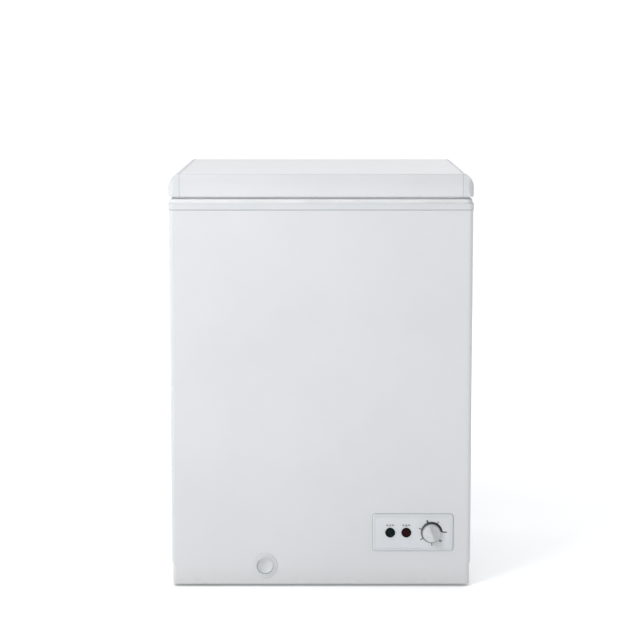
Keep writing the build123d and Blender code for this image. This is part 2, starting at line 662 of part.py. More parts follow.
def lid_skin():
    """Painted steel sheet over the top, front and back of the lid, turned in along the bottom."""
    half = SEAM_X - 0.5
    skin = lid_bar(0, -half, half) - lid_bar(-SKIN_T, -half - 1, half + 1)
    skin -= block(-half - 1, half + 1, LID_FRONT + 8.5, LID_REAR - 4.5, LID_LOW - 1, LID_LOW + 2)
    for x, z in arm_screw_places():
        skin -= disc((x, LID_REAR - 5, z), (0, 1, 0), 1.9, 10)
    return skin


def cap_form(inset, x0):
    """The right-hand end of the lid, taken in by inset: rounded over the top and round both corners."""
    centre_x, centre_z = CAP_X - SHOULDER_X, LID_TOP + CAP_PROUD - SHOULDER_Z
    top, low, inner = LID_TOP + CAP_PROUD - inset, LID_LOW + inset, 260
    shoulder = EllipticalCenterArc((centre_x, centre_z), SHOULDER_X - inset, SHOULDER_Z - inset, 0, arc_size=90)
    edges = shoulder + Line((centre_x, top), (inner, top)) + Line((inner, top), (inner, low))
    edges += Line((inner, low), (CAP_X - 2 - inset, low))
    edges += ThreePointArc((CAP_X - 2 - inset, low), (CAP_X - 0.5 - inset, low + 5), (CAP_X - inset, centre_z))
    side = extrude(Plane.XZ.offset(-HALF_D - 10) * make_face(edges), 2 * HALF_D + 30)
    front, rear = LID_FRONT - LID_BOW - CAP_PROUD + inset, LID_REAR + CAP_PROUD - inset
    corners = prism(-CAP_X + inset, CAP_X - inset, front, rear, LID_LOW - 5, LID_TOP + 5, CAP_PLAN_R - inset)
    return lid_bar(CAP_PROUD - inset, x0, CAP_X + 5) & side & corners


def lid_end_cap():
    """Moulded right-hand end of the lid, open below, with a tongue that reaches under the steel skin."""
    cap = cap_form(0, SEAM_X) - cap_form(CAP_T, SEAM_X - 20)
    cap -= prism(-303.3, 303.3, -HALF_D + 3, HALF_D - 4, LID_LOW - 2, LID_LOW + 4, 11)
    tongue = lid_bar(-1.1, SEAM_X - 12, SEAM_X + 1.5) - lid_bar(-3.0, SEAM_X - 13, SEAM_X + 2.5)
    tongue -= block(0, CAP_X, -HALF_D - 5, HALF_D + 5, LID_LOW - 2, LID_LOW + 5)
    return cap + tongue


def plateau(inset, top):
    """The drafted middle of the lid's inner panel, taken in by inset, with a broad recess in its underside."""
    half_x, half_y, corner = PLATEAU_X - 1.1 * inset, PLATEAU_Y - 1.1 * inset, 30 - inset
    low, brim = PLATEAU_Z + inset, LID_LOW + 2.5
    body = Pos(0, 0, brim) * extrude(RectangleRounded(2 * half_x, 2 * half_y, corner), low - brim, taper=14)
    body += prism(-half_x, half_x, -half_y, half_y, brim, top, corner)
    recess_x, recess_y = PLATEAU_X - 40 + inset, PLATEAU_Y - 40 + inset
    return body - prism(-recess_x, recess_x, -recess_y, recess_y, PLATEAU_Z - 5, PLATEAU_Z + 8 + inset, 20)


def lid_inner_panel():
    """Moulded underside of the lid: a flat margin over the gasket and a drafted plateau."""
    low, top = LID_LOW + 2.5, LID_LOW + 4.5
    margin = prism(-302, 302, -HALF_D + 1, HALF_D - 5.2, low, top, 10)
    return margin + plateau(0, top) - plateau(2, top + 1)


def lid_insulation():
    """Foam between the steel skin and the inner panel."""
    low = LID_LOW + 4.8
    foam = lid_bar(-SKIN_T - 0.3, -SEAM_X + 12.5, SEAM_X - 12.5) - block(-400, 400, -400, 400, LID_LOW - 2, low)
    foam += plateau(2.3, low + 1)
    for x, z in arm_screw_places():
        foam -= disc((x, LID_REAR - 9, z), (0, 1, 0), 1.9, 10)
    return foam


def gasket_r(inset):
    return max(15 - inset, 1.0)


def lid_gasket():
    """Soft hollow-section seal: bellows on the deck, a narrow neck, and a flange under the inner panel."""
    chamber = frame(1.5, gasket_r(1.5), 16, 1, DECK_Z + 0.3, DECK_Z + 9)
    chamber = fillet(chamber.edges().filter_by_position(Axis.Z, DECK_Z, DECK_Z + 10), 1.0)
    neck = frame(8, gasket_r(8), 13, gasket_r(13), DECK_Z + 8, LID_LOW + 1.2)
    return chamber + neck + frame(4, gasket_r(4), 18, 1, LID_LOW + 1, LID_LOW + 2.5)


# ---------------------------------------------------------------- hinges
def bracket_screw_places():
    return [(hinge + dx, z) for hinge in HINGE_XS for dx in (-14, 14) for z in (706, 758)]


def arm_screw_places():
    return [(hinge + dx, z) for hinge in HINGE_XS for dx in (-11, 11) for z in (814, 833)]


def side_plate(points, x, extra_r):
    """A flat hinge plate, HINGE_T thick, with a round boss about the pin."""
    boss = Pos(AXIS_Y, AXIS_Z) * Circle(extra_r)
    profile = make_face(Polyline(*points, close=True)) + boss - Pos(AXIS_Y, AXIS_Z) * Circle(PIN_R + 0.06)
    return extrude(Plane.YZ.offset(x) * profile, HINGE_T)


def hinge_brackets():
    """U-shaped steel brackets on the cabinet's back."""
    back = HALF_D + BACK_T
    web = back + HINGE_T
    points = [(back, 700), (web, 700), (278.5, 782), (278.5, AXIS_Z), (263.5, AXIS_Z), (263.5, 774), (back, 771)]
    brackets = []
    for x in HINGE_XS:
        bracket = block(x - 25, x + 25, back, web, 692, 772)
        bracket += side_plate(points, x + CHEEK_IN, CHEEK_R)
        bracket += side_plate(points, x - CHEEK_IN - HINGE_T, CHEEK_R)
        for dx in (-14, 14):
            for z in (706, 758):
                bracket -= disc((x + dx, back - 2, z), (0, 1, 0), 2.5, 8)
        brackets.append(bracket)
    return group(brackets)


def hinge_bracket_screws():
    web = HALF_D + BACK_T + HINGE_T
    return group([pan_screw(x, web, z, 2.4, 16, 4.6, 2.4) for x, z in bracket_screw_places()])


def hinge_arms():
    """Steel arms on the lid's back, with two ears each that turn on the pin."""
    near = LID_REAR + 0.2
    web = near + HINGE_T
    points = [(near, 806), (near, 836), (web, 836), (277.5, 800), (277.5, AXIS_Z), (264.5, AXIS_Z), (264.5, 802)]
    arms = []
    for x in HINGE_XS:
        arm = block(x - 21, x + 21, near, web, 805, 842)
        arm += side_plate(points, x + EAR_IN, CHEEK_R - 0.5)
        arm += side_plate(points, x - EAR_IN - HINGE_T, CHEEK_R - 0.5)
        for dx in (-11, 11):
            for z in (814, 833):
                arm -= disc((x + dx, near - 2, z), (0, 1, 0), 1.9, 8)
        arms.append(arm)
    return group(arms)


def hinge_arm_screws():
    web = LID_REAR + 0.2 + HINGE_T
    return group([pan_screw(x, web, z, 1.8, 10, 3.6, 1.8) for x, z in arm_screw_places()])


def hinge_pins():
    """Headed pins through each bracket and arm."""
    pins = []
    for x in HINGE_XS:
        pin = disc((x - 26.5, AXIS_Y, AXIS_Z), (1, 0, 0), PIN_R, 53)
        pins.append(pin + disc((x + CHEEK_IN + HINGE_T, AXIS_Y, AXIS_Z), (1, 0, 0), 5, 2))
    return group(pins)


def hinge_springs():
    """Torsion springs round the pins, each with one leg down against its bracket."""
    coil_r, wire_r, pitch, turns = 5.6, 0.9, 2.4, 10
    springs = []
    for x in HINGE_XS:
        helix = Helix(pitch, pitch * turns, coil_r)
        place = Plane(origin=(x - pitch * turns / 2, AXIS_Y, AXIS_Z), x_dir=(0, -1, 0), z_dir=(1, 0, 0))
        coil = sweep(Plane(origin=helix @ 0, z_dir=helix % 0) * Circle(wire_r), path=helix, is_frenet=True)
        end = helix @ 1
        leg = disc(end, helix % 1, wire_r, 18)
        springs.append(place * (coil + leg))
    return group(springs)


# ---------------------------------------------------------------- basket
def spaced(length, pitch):
    """Even places from end to end of a length, about pitch apart."""
    count = round(length / pitch)
    return [length * k / count - length / 2 for k in range(count + 1)]


def grille(width, height):
    """Flat welded mesh in the XY plane, with border wires, centred on the origin."""
    across, along = width - 2 * WIRE_R, height - 2 * WIRE_R
    wires = [rod((x, -height / 2, 0), (x, height / 2, 0), WIRE_R) for x in spaced(across, MESH_PITCH)]
    level = WIRE_STEP
    wires += [rod((-width / 2, y, level), (width / 2, y, level), WIRE_R) for y in spaced(along, MESH_PITCH * 1.25)]
    return wires[0].fuse(*wires[1:])


def basket_wall(azimuth, reach, width):
    """An upright panel whose outer wires stand reach away from the basket's middle."""
    height = RAIL_Z - RAIL_R - BASKET_Z
    upright = Pos(BASKET_X, 0, BASKET_Z + height / 2) * Rot(0, 0, azimuth) * Pos(0, -reach, 0)
    return upright * Rot(90, 0, 0) * mirror(grille(width, height), about=Plane.XY)


def basket_front():
    return basket_wall(0, BASKET_D / 2, BASKET_W)


def basket_back():
    return basket_wall(180, BASKET_D / 2, BASKET_W)


def basket_side_width():
    return BASKET_D - 2 * (WIRE_STEP + WIRE_R + 0.3)


def basket_left():
    return basket_wall(270, BASKET_W / 2, basket_side_width())


def basket_right():
    return basket_wall(90, BASKET_W / 2, basket_side_width())


def basket_floor():
    width = BASKET_W - 2 * (WIRE_STEP + WIRE_R + 0.3)
    return Pos(BASKET_X, 0, BASKET_Z + WIRE_R) * grille(width, basket_side_width())


def basket_rim():
    """Two rails that hang on the collar's ledge, joined by a wire along the front and the back."""
    reach_y = HALF_D - DECK_IN - 8
    rim = []
    for x in (BASKET_X - BASKET_W / 2, BASKET_X + BASKET_W / 2):
        rim.append(rod((x, -reach_y, RAIL_Z), (x, reach_y, RAIL_Z), RAIL_R))
    for y in (-BASKET_D / 2, BASKET_D / 2):
        ends = [(BASKET_X + side * BASKET_W / 2, y, RAIL_Z) for side in (-1, 1)]
        rim.append(rod(*ends, 2.2))
    return rim[0].fuse(*rim[1:])


def basket_grips():
    """Moulded grips clipped over the middle of both rails, open underneath where the mesh is welded on."""
    grips = []
    for x in (BASKET_X - BASKET_W / 2, BASKET_X + BASKET_W / 2):
        grip = disc((x, -55, RAIL_Z), (0, 1, 0), 5.5, 110)
        grip = fillet(grip.edges(), 2)
        grip -= block(x - 9, x + 9, -60, 60, RAIL_Z - 9, RAIL_Z - 0.85 * RAIL_R)
        grips.append(grip - disc((x, -60, RAIL_Z), (0, 1, 0), RAIL_R, 120))
    return group(grips)


# ---------------------------------------------------------------- the whole freezer
def build():
    """Every sub-part, by name."""
    evaporator, condenser, sensor = evaporator_coil(), condenser_coil(), thermostat_sensor_tube()
    cap = lid_end_cap()
    green_x, red_x = LAMP_XS
    return {
        "cabinet_wrapper": cabinet_wrapper(),
        "rear_panel": rear_panel(),
        "base_plate": base_plate(),
        "feet": feet(),
        "compressor_bulkhead": compressor_bulkhead(),
        "cabinet_insulation": cabinet_insulation([evaporator, condenser, sensor]),
        "inner_liner": inner_liner(),
        "top_collar": top_collar(),
        "evaporator_coil": evaporator,
        "condenser_coil": condenser,
        "compressor_shell": compressor_shell(),
        "compressor_motor": compressor_motor(),
        "compressor_grommets": compressor_grommets(),
        "compressor_bolts": compressor_bolts(),
        "compressor_rails": compressor_rails(),
        "compressor_terminal_cover": compressor_terminal_cover(),
        "filter_drier": filter_drier(),
        "discharge_pipe": discharge_pipe(),
        "suction_pipe": suction_pipe(),
        "capillary_tube": capillary_tube(),
        "machine_rear_cover": machine_rear_cover(),
        "cover_screws": cover_screws(),
        "side_vent_grille": side_vent_grille(),
        "cord_gland": cord_gland(),
        "wiring_harness": wiring_harness(),
        "control_panel_bezel": control_panel_bezel(),
        "control_box": control_box(),
        "thermostat_body": thermostat_body(),
        "thermostat_sensor_tube": sensor,
        "thermostat_shaft": thermostat_shaft(),
        "power_lamp_lens": lamp_lens(green_x),
        "alarm_lamp_lens": lamp_lens(red_x),
        "lamp_holders": lamp_holders(),
        "knob_skirt": knob_skirt(),
        "knob_cap": knob_cap(),
        "drain_tube": drain_tube(),
        "drain_housing": drain_housing(),
        "drain_spout": drain_spout(),
        "drain_cap": drain_cap(),
        "liner_drain_plug": liner_drain_plug(),
        "lid_skin": lid_skin(),
        "lid_end_cap_right": cap,
        "lid_end_cap_left": mirrored(cap),
        "lid_inner_panel": lid_inner_panel(),
        "lid_insulation": lid_insulation(),
        "lid_gasket": lid_gasket(),
        "hinge_brackets": hinge_brackets(),
        "hinge_bracket_screws": hinge_bracket_screws(),
        "hinge_arms": hinge_arms(),
        "hinge_arm_screws": hinge_arm_screws(),
        "hinge_pins": hinge_pins(),
        "hinge_springs": hinge_springs(),
        "basket_rim": basket_rim(),
        "basket_front": basket_front(),
        "basket_back": basket_back(),
        "basket_left": basket_left(),
        "basket_right": basket_right(),
        "basket_floor": basket_floor(),
        "basket_grips": basket_grips(),
    }


os.makedirs("parts", exist_ok=True)
for name, shape in build().items():
    export_step(shape, os.path.join("parts", name + ".step"))
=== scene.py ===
import functools
import logging
import math
from collections.abc import Sequence
from dataclasses import dataclass
from enum import Enum

import bpy
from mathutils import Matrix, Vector
from mathutils.geometry import convex_hull_2d


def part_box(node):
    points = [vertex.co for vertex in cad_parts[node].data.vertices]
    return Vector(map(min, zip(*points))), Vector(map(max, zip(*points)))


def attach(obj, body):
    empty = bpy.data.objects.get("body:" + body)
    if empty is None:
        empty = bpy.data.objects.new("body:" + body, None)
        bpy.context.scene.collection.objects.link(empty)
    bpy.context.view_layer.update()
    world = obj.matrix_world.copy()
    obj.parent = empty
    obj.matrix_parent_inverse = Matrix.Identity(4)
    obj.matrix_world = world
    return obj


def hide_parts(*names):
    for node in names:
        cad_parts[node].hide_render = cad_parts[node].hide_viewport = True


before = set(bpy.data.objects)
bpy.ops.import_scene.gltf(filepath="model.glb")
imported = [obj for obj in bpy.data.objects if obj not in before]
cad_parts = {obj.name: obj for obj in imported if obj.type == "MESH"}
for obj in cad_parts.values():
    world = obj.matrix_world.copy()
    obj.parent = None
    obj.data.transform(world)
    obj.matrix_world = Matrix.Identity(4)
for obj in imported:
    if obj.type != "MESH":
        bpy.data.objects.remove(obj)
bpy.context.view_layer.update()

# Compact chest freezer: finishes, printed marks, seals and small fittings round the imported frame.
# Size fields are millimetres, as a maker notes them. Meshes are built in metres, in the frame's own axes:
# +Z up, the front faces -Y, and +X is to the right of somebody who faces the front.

MM = 0.001
FULL_TURN = 2 * math.pi
CORNER_STEPS = 8
LOG = logging.getLogger("freezer")

Point = tuple[float, float]
Point3 = tuple[float, float, float]
Strip = list[tuple[Point, Point]]
Tree = bpy.types.NodeTree
Socket = bpy.types.NodeSocket
Piece = bpy.types.Object


# ---- shader graphs
def linear(code: str) -> tuple[float, float, float, float]:
    """Turns an sRGB hex colour into linear light.

    Args:
        code: Six hex digits, red, green and blue.

    Returns:
        Red, green, blue and an alpha of 1.
    """
    parts = [int(code[i : i + 2], 16) / 255 for i in (0, 2, 4)]
    red, green, blue = (c / 12.92 if c <= 0.04045 else ((c + 0.055) / 1.055) ** 2.4 for c in parts)
    return red, green, blue, 1.0


def add(tree: Tree, kind: str, settings: dict | None = None, inputs: dict | None = None) -> bpy.types.Node:
    """Adds one node with its settings and links.

    Args:
        tree: The material's or world's node tree.
        kind: The node's type, without "ShaderNode".
        settings: Attributes of the node.
        inputs: Sockets by name or number, each with a fixed value or the output that feeds it.

    Returns:
        The new node.
    """
    node = tree.nodes.new("ShaderNode" + kind)
    for name, value in (settings or {}).items():
        setattr(node, name, value)
    for key, value in (inputs or {}).items():
        if isinstance(value, Socket):
            tree.links.new(value, node.inputs[key])
        else:
            node.inputs[key].default_value = value
    return node


def scale_of(width: float) -> float:
    """Turns the width of one wave or cell, in millimetres, into a texture's scale."""
    return 1 / (width * MM)


class Pattern(Enum):
    """How a surface's fine relief is laid out."""

    MOTTLE = "random soft waves"
    CELLS = "raised cells with sunken borders"
    PITS = "small separate dimples"
    FLOW = "waves drawn out along one axis"


@dataclass(frozen=True)
class Relief:
    """One layer of relief. Width and depth are those of a single wave, cell or pit, in millimetres."""

    pattern: Pattern
    width: float
    depth: float
    stretch: Point3 = (1.0, 1.0, 1.0)

    def height(self, tree: Tree, place: Socket) -> Socket:
        """Builds the height field.

        Args:
            tree: The node tree.
            place: Surface coordinates, in metres.

        Returns:
            The socket with the height, from 0 to about 1.
        """
        stretched = add(tree, "Mapping", None, {"Vector": place, "Scale": self.stretch}).outputs[0]
        scale = scale_of(self.width)
        if self.pattern in (Pattern.MOTTLE, Pattern.FLOW):
            return add(tree, "TexNoise", None, {"Vector": stretched, "Scale": scale, "Detail": 2.0}).outputs[0]
        smooth = {"feature": "SMOOTH_F1"}
        cells = add(tree, "TexVoronoi", smooth, {"Vector": stretched, "Scale": scale, "Smoothness": 0.35}).outputs[0]
        if self.pattern is Pattern.PITS:
            return cells
        return add(tree, "Math", {"operation": "SUBTRACT"}, {0: 1.0, 1: cells}).outputs[0]


@dataclass(frozen=True)
class Finish:
    """A real material and how its surface was made. Widths are in millimetres, colours are sRGB hex."""

    name: str
    colour: str
    drift: str
    roughness: float
    spread: float = 0.05
    patch: float = 140.0
    smear: float = 35.0
    metallic: float = 0.0
    ior: float = 1.5
    coat: float = 0.0
    coat_roughness: float = 0.08
    sheen: float = 0.0
    subsurface: float = 0.0
    specular: float = 0.5
    glow: float = 0.0
    reliefs: tuple[Relief, ...] = ()
    low_tint: str = ""
    low_tint_height: float = 60.0
    low_tint_speckle: float = 9.0

    def tone(self, tree: Tree, place: Socket) -> Socket:
        """Builds the base colour: broad patches of drift, and a darker speckled tint towards the bottom that thins
        out with height.

        Args:
            tree: The node tree.
            place: Surface coordinates, in metres.

        Returns:
            The socket with the colour.
        """
        size = {"Vector": place, "Scale": scale_of(self.patch), "Detail": 4.0, "Roughness": 0.6}
        patches = add(tree, "TexNoise", None, size).outputs[0]
        mask = add(tree, "MapRange", None, {"Value": patches, "From Min": 0.35, "From Max": 0.7}).outputs[0]
        colours = {0: mask, 6: linear(self.colour), 7: linear(self.drift)}
        mixed = add(tree, "Mix", {"data_type": "RGBA"}, colours).outputs[2]
        if not self.low_tint:
            return mixed
        # A darker speckled tint towards the bottom, fading out with height.
        height = add(tree, "SeparateXYZ", None, {0: place}).outputs[2]
        reach = {"Value": height, "From Min": self.low_tint_height * MM, "From Max": 0.0, "To Max": 0.5}
        low_share = add(tree, "MapRange", None, reach).outputs[0]
        size = {"Vector": place, "Scale": scale_of(self.low_tint_speckle), "Detail": 6.0}
        speckle = add(tree, "TexNoise", None, size).outputs[0]
        amount = add(tree, "Math", {"operation": "MULTIPLY"}, {0: low_share, 1: speckle}).outputs[0]
        return add(tree, "Mix", {"data_type": "RGBA"}, {0: amount, 6: mixed, 7: linear(self.low_tint)}).outputs[2]

    def gloss(self, tree: Tree, place: Socket) -> Socket:
        """Builds the roughness: smears of handling round the typical value.

        Args:
            tree: The node tree.
            place: Surface coordinates, in metres.

        Returns:
            The socket with the roughness.
        """
        size = {"Vector": place, "Scale": scale_of(self.smear), "Detail": 5.0, "Distortion": 0.4}
        smears = add(tree, "TexNoise", None, size).outputs[0]
        low, high = max(0.02, self.roughness - self.spread), min(1.0, self.roughness + self.spread)
        limits = {"Value": smears, "From Min": 0.3, "From Max": 0.7, "To Min": low, "To Max": high}
        return add(tree, "MapRange", None, limits).outputs[0]

    def shine(self, tree: Tree, place: Socket) -> Socket | float:
        """How strongly the surface gives light of its own: evenly, and for nearly every finish not at all.

        Args:
            tree: The node tree.
            place: Surface coordinates, in metres.

        Returns:
            The strength, or the socket with it.
        """
        return self.glow

    def normal(self, tree: Tree, place: Socket) -> Socket | None:
        """Builds the relief, layer on layer.

        Args:
            tree: The node tree.
            place: Surface coordinates, in metres.

        Returns:
            The socket with the bent normal, or None for a mirror-smooth finish.
        """
        bent = None
        for relief in self.reliefs:
            inputs = {"Height": relief.height(tree, place), "Distance": relief.depth * MM}
            if bent is not None:
                inputs["Normal"] = bent
            bent = add(tree, "Bump", None, inputs).outputs[0]
        return bent


@dataclass(frozen=True)
class SpangledZinc(Finish):
    """Hot-dip zinc: flat crystals about a centimetre wide, each with its own grey and its own gloss."""

    crystal: float = 11.0
    tear: float = 6.0
    dark: str = "8E9294"

    def crystals(self, tree: Tree, place: Socket) -> Socket:
        """Gives every crystal one random number.

        Args:
            tree: The node tree.
            place: Surface coordinates, in metres.

        Returns:
            The socket with the number, from 0 to 1.
        """
        wander = add(tree, "TexNoise", None, {"Vector": place, "Scale": scale_of(self.crystal)}).outputs[1]
        bent = {"operation": "MULTIPLY_ADD"}
        torn = add(tree, "VectorMath", bent, {0: wander, 1: (self.tear * MM,) * 3, 2: place}).outputs[0]
        cells = add(tree, "TexVoronoi", None, {"Vector": torn, "Scale": scale_of(self.crystal)}).outputs["Color"]
        return add(tree, "SeparateColor", None, {0: cells}).outputs[0]

    def tone(self, tree: Tree, place: Socket) -> Socket:
        """Mixes a dark and a light grey by crystal over the plain tone.

        Args:
            tree: The node tree.
            place: Surface coordinates, in metres.

        Returns:
            The socket with the colour.
        """
        amount = {"Value": self.crystals(tree, place), "To Max": 0.6}
        share = add(tree, "MapRange", None, amount).outputs[0]
        colours = {0: share, 6: super().tone(tree, place), 7: linear(self.dark)}
        return add(tree, "Mix", {"data_type": "RGBA"}, colours).outputs[2]

    def gloss(self, tree: Tree, place: Socket) -> Socket:
        """Gives each crystal its own roughness.

        Args:
            tree: The node tree.
            place: Surface coordinates, in metres.

        Returns:
            The socket with the roughness.
        """
        low, high = self.roughness - self.spread, self.roughness + self.spread
        limits = {"Value": self.crystals(tree, place), "To Min": low, "To Max": high}
        return add(tree, "MapRange", None, limits).outputs[0]


@dataclass(frozen=True)
class LampLens(Finish):
    """Tinted plastic over an unlit lamp: darker at its rim, which is painted shade, with a little more colour over
    the lamp's hollow, which is painted light.
    """

    centre: Point = (0.0, 0.0)
    radius: float = 10.0
    painted_light_heart: str = "142020"
    painted_light_share: float = 0.45
    rim_painted_shade_share: float = 0.85

    def tone(self, tree: Tree, place: Socket) -> Socket:
        """Paints light and shade by distance from the lamp's axis: lighter and more coloured over the lamp's hollow
        as painted light, darker at the rim as painted shade.

        Args:
            tree: The node tree.
            place: Surface coordinates, in metres.

        Returns:
            The socket with the colour.
        """
        x, z = self.centre
        flat = {"operation": "MULTIPLY"}
        level = add(tree, "VectorMath", flat, {0: place, 1: (1.0, 0.0, 1.0)}).outputs[0]
        distance = {"operation": "DISTANCE"}
        out = add(tree, "VectorMath", distance, {0: level, 1: (x * MM, 0.0, z * MM)}).outputs["Value"]
        near, far = self.painted_light_share * self.radius * MM, self.rim_painted_shade_share * self.radius * MM
        share = {"Value": out, "From Min": near, "From Max": far}
        # Painted light and shade: lighter over the lamp's hollow, darker at the rim.
        rim = add(tree, "MapRange", {"interpolation_type": "SMOOTHSTEP"}, share).outputs[0]
        colours = {0: rim, 6: linear(self.painted_light_heart), 7: super().tone(tree, place)}
        return add(tree, "Mix", {"data_type": "RGBA"}, colours).outputs[2]


@dataclass(frozen=True)
class DialInk(Finish):
    """Screen-printed ink whose halftone fades round the knob, from black at the coldest end to grey."""

    centre: Point = (0.0, 0.0)
    pale: str = "A6A8AB"
    start: float = 73.0
    end: float = 322.0

    def tone(self, tree: Tree, place: Socket) -> Socket:
        """Fades the ink by the angle round the knob.

        Args:
            tree: The node tree.
            place: Surface coordinates, in metres.

        Returns:
            The socket with the colour.
        """
        x, z = self.centre
        shifted = {"operation": "SUBTRACT"}
        local = add(tree, "VectorMath", shifted, {0: place, 1: (x * MM, 0.0, z * MM)}).outputs[0]
        axes = add(tree, "SeparateXYZ", None, {0: local}).outputs
        turn = add(tree, "Math", {"operation": "ARCTAN2"}, {0: axes[2], 1: axes[0]}).outputs[0]
        angle = add(tree, "Math", {"operation": "WRAP"}, {0: turn, 1: FULL_TURN, 2: 0.0}).outputs[0]
        limits = {"Value": angle, "From Min": math.radians(self.start), "From Max": math.radians(self.end)}
        share = add(tree, "MapRange", None, limits).outputs[0]
        colours = {0: share, 6: super().tone(tree, place), 7: linear(self.pale)}
        return add(tree, "Mix", {"data_type": "RGBA"}, colours).outputs[2]


@dataclass(frozen=True)
class GlowingFloorPaintedShade(Finish):
    """Matt white glass that glows, least round the freezer, where the weaker glow leaves painted shade, so that the
    floor runs white to its far edge.
    """

    painted_shade_share: float = 0.55
    painted_shade_reach: float = 700.0
    full_reach: float = 2400.0

    def shine(self, tree: Tree, place: Socket) -> Socket:
        """Raises the glow with distance from the freezer, so that the floor round it stays darker as painted shade.

        Args:
            tree: The node tree.
            place: Surface coordinates, in metres.

        Returns:
            The socket with the strength.
        """
        away = add(tree, "VectorMath", {"operation": "LENGTH"}, {0: place}).outputs["Value"]
        # Painted shade: the glow is weakest round the freezer.
        limits = {"Value": away, "From Min": self.painted_shade_reach * MM, "From Max": self.full_reach * MM,
                  "To Min": self.painted_shade_share * self.glow, "To Max": self.glow}
        return add(tree, "MapRange", {"interpolation_type": "SMOOTHSTEP"}, limits).outputs[0]


@functools.cache
def material(finish: Finish) -> bpy.types.Material:
    """Builds a finish's material once.

    Args:
        finish: The finish.

    Returns:
        The material, the same one for the same finish.
    """
    made = bpy.data.materials.new(finish.name)
    made.use_nodes = True
    tree = made.node_tree
    tree.nodes.clear()
    place = add(tree, "TexCoord").outputs["Object"]
    inputs = {
        "Base Color": finish.tone(tree, place),
        "Emission Color": linear(finish.colour),
        "Roughness": finish.gloss(tree, place),
        "Metallic": finish.metallic,
        "IOR": finish.ior,
        "Coat Weight": finish.coat,
        "Coat Roughness": finish.coat_roughness,
        "Sheen Weight": finish.sheen,
        "Subsurface Weight": finish.subsurface,
        "Subsurface Scale": 2 * MM,
        "Specular IOR Level": finish.specular,
        "Emission Strength": finish.shine(tree, place),
    }
    bent = finish.normal(tree, place)
    if bent is not None:
        inputs["Normal"] = bent
    surface = add(tree, "BsdfPrincipled", None, inputs).outputs[0]
    add(tree, "OutputMaterial", None, {"Surface": surface})
    return made


# Orange peel is 1 to 2 mm across on the real sheet. It is drawn 7 mm across so that it shows.
PEEL = Relief(Pattern.MOTTLE, 7.0, 0.008)
# Sheet metal over foam is never quite flat: dents a hand wide and a few hundredths of a millimetre deep.
OIL_CANNING = Relief(Pattern.MOTTLE, 170.0, 0.35)
# Spark-eroded mould texture is 0.1 to 0.3 mm. It is drawn 1.6 mm so that it shows.
MOULD_GRAIN = Relief(Pattern.MOTTLE, 1.6, 0.02)

# Epoxy-polyester powder baked on steel: hard semi-gloss white with soft, slightly wavy reflections.
BAKED_ENAMEL = Finish(
    "baked_white_enamel", "D4D5D7", "D0D2D4", 0.34, 0.05, patch=260, smear=60, coat=0.25, coat_roughness=0.16,
    reliefs=(OIL_CANNING, PEEL), low_tint="B9B6AE", low_tint_height=45,
)
# The same enamel on the lid, which is wiped often: cleaner, and more even in its gloss.
LID_ENAMEL = Finish(
    "wiped_white_enamel", "D4D5D7", "D0D2D4", 0.34, 0.02, patch=220, smear=70, coat=0.25, coat_roughness=0.16,
    reliefs=(Relief(Pattern.MOTTLE, 150.0, 0.2), Relief(Pattern.MOTTLE, 9.0, 0.003)),
)
# Injection-moulded ABS: satin white, a touch greyer than the enamel, light sinks into it slightly.
MOULDED_ABS = Finish(
    "moulded_white_abs", "D0D2D5", "CBCED1", 0.42, 0.07, patch=70, smear=22, ior=1.53, subsurface=0.05,
    reliefs=(Relief(Pattern.MOTTLE, 60.0, 0.08), MOULD_GRAIN),
)
# The control panel's moulding is finer and flatter, so that print sits cleanly on it.
PANEL_ABS = Finish(
    "fine_moulded_white_abs", "D4D7DA", "D0D4D8", 0.38, 0.05, patch=55, smear=18, ior=1.53, subsurface=0.04,
    reliefs=(MOULD_GRAIN,),
)
# Hot-dip galvanised sheet: large grey crystals that shine unevenly, and a film of dull oxide.
GALVANISED = SpangledZinc(
    "hot_dip_galvanised_steel", "A9ADAF", "9CA1A4", 0.44, 0.13, patch=90, metallic=0.9,
    reliefs=(Relief(Pattern.MOTTLE, 120.0, 0.25), Relief(Pattern.CELLS, 11.0, 0.02)),
    low_tint="6F6A62", low_tint_height=30,
)
# Stucco-embossed aluminium: pillowed cells that break up every reflection. They are about 3 mm wide, and drawn 4.2 mm
# so that they show.
STUCCO_ALUMINIUM = Finish(
    "stucco_embossed_aluminium", "DEE1E4", "D2D6DA", 0.38, 0.07, patch=110, smear=45, metallic=0.85,
    reliefs=(Relief(Pattern.MOTTLE, 90.0, 0.3), Relief(Pattern.CELLS, 4.2, 0.28)),
)
# Rigid polyurethane foam, poured: pale straw yellow, matt, open bubbles where it was cut.
POURED_FOAM = Finish(
    "poured_polyurethane_foam", "E3D6A0", "D6C586", 0.92, 0.05, patch=40, sheen=0.15,
    reliefs=(Relief(Pattern.PITS, 2.2, 0.4), Relief(Pattern.MOTTLE, 18.0, 0.6)),
)
# Vacuum-formed polystyrene: glossy white that goes thin and slightly translucent at its draws.
FORMED_POLYSTYRENE = Finish(
    "vacuum_formed_polystyrene", "E1E2E4", "DDDFE1", 0.33, 0.03, patch=160, smear=90, ior=1.59, subsurface=0.08,
    reliefs=(Relief(Pattern.MOTTLE, 70.0, 0.05),),
)
# Plasticised vinyl extrusion: soft, warm white, faintly drawn out along its length, holds some dust.
EXTRUDED_VINYL = Finish(
    "extruded_vinyl", "DDDEE0", "D6D7D8", 0.55, 0.08, patch=45, smear=15, ior=1.54, sheen=0.1, subsurface=0.1,
    reliefs=(Relief(Pattern.FLOW, 3.0, 0.03, (0.15, 0.15, 1.0)),),
)
# Painted shade in the joints: soft mid grey, matt strips that stand in for the shade under the collar's lip and in
# the groove round the panel.
JOINT_PAINTED_SHADE = Finish(
    "joint_painted_shade", "A9ACAE", "9EA1A4", 0.75, 0.08, patch=20, smear=8,
    reliefs=(Relief(Pattern.PITS, 1.2, 0.03),),
)
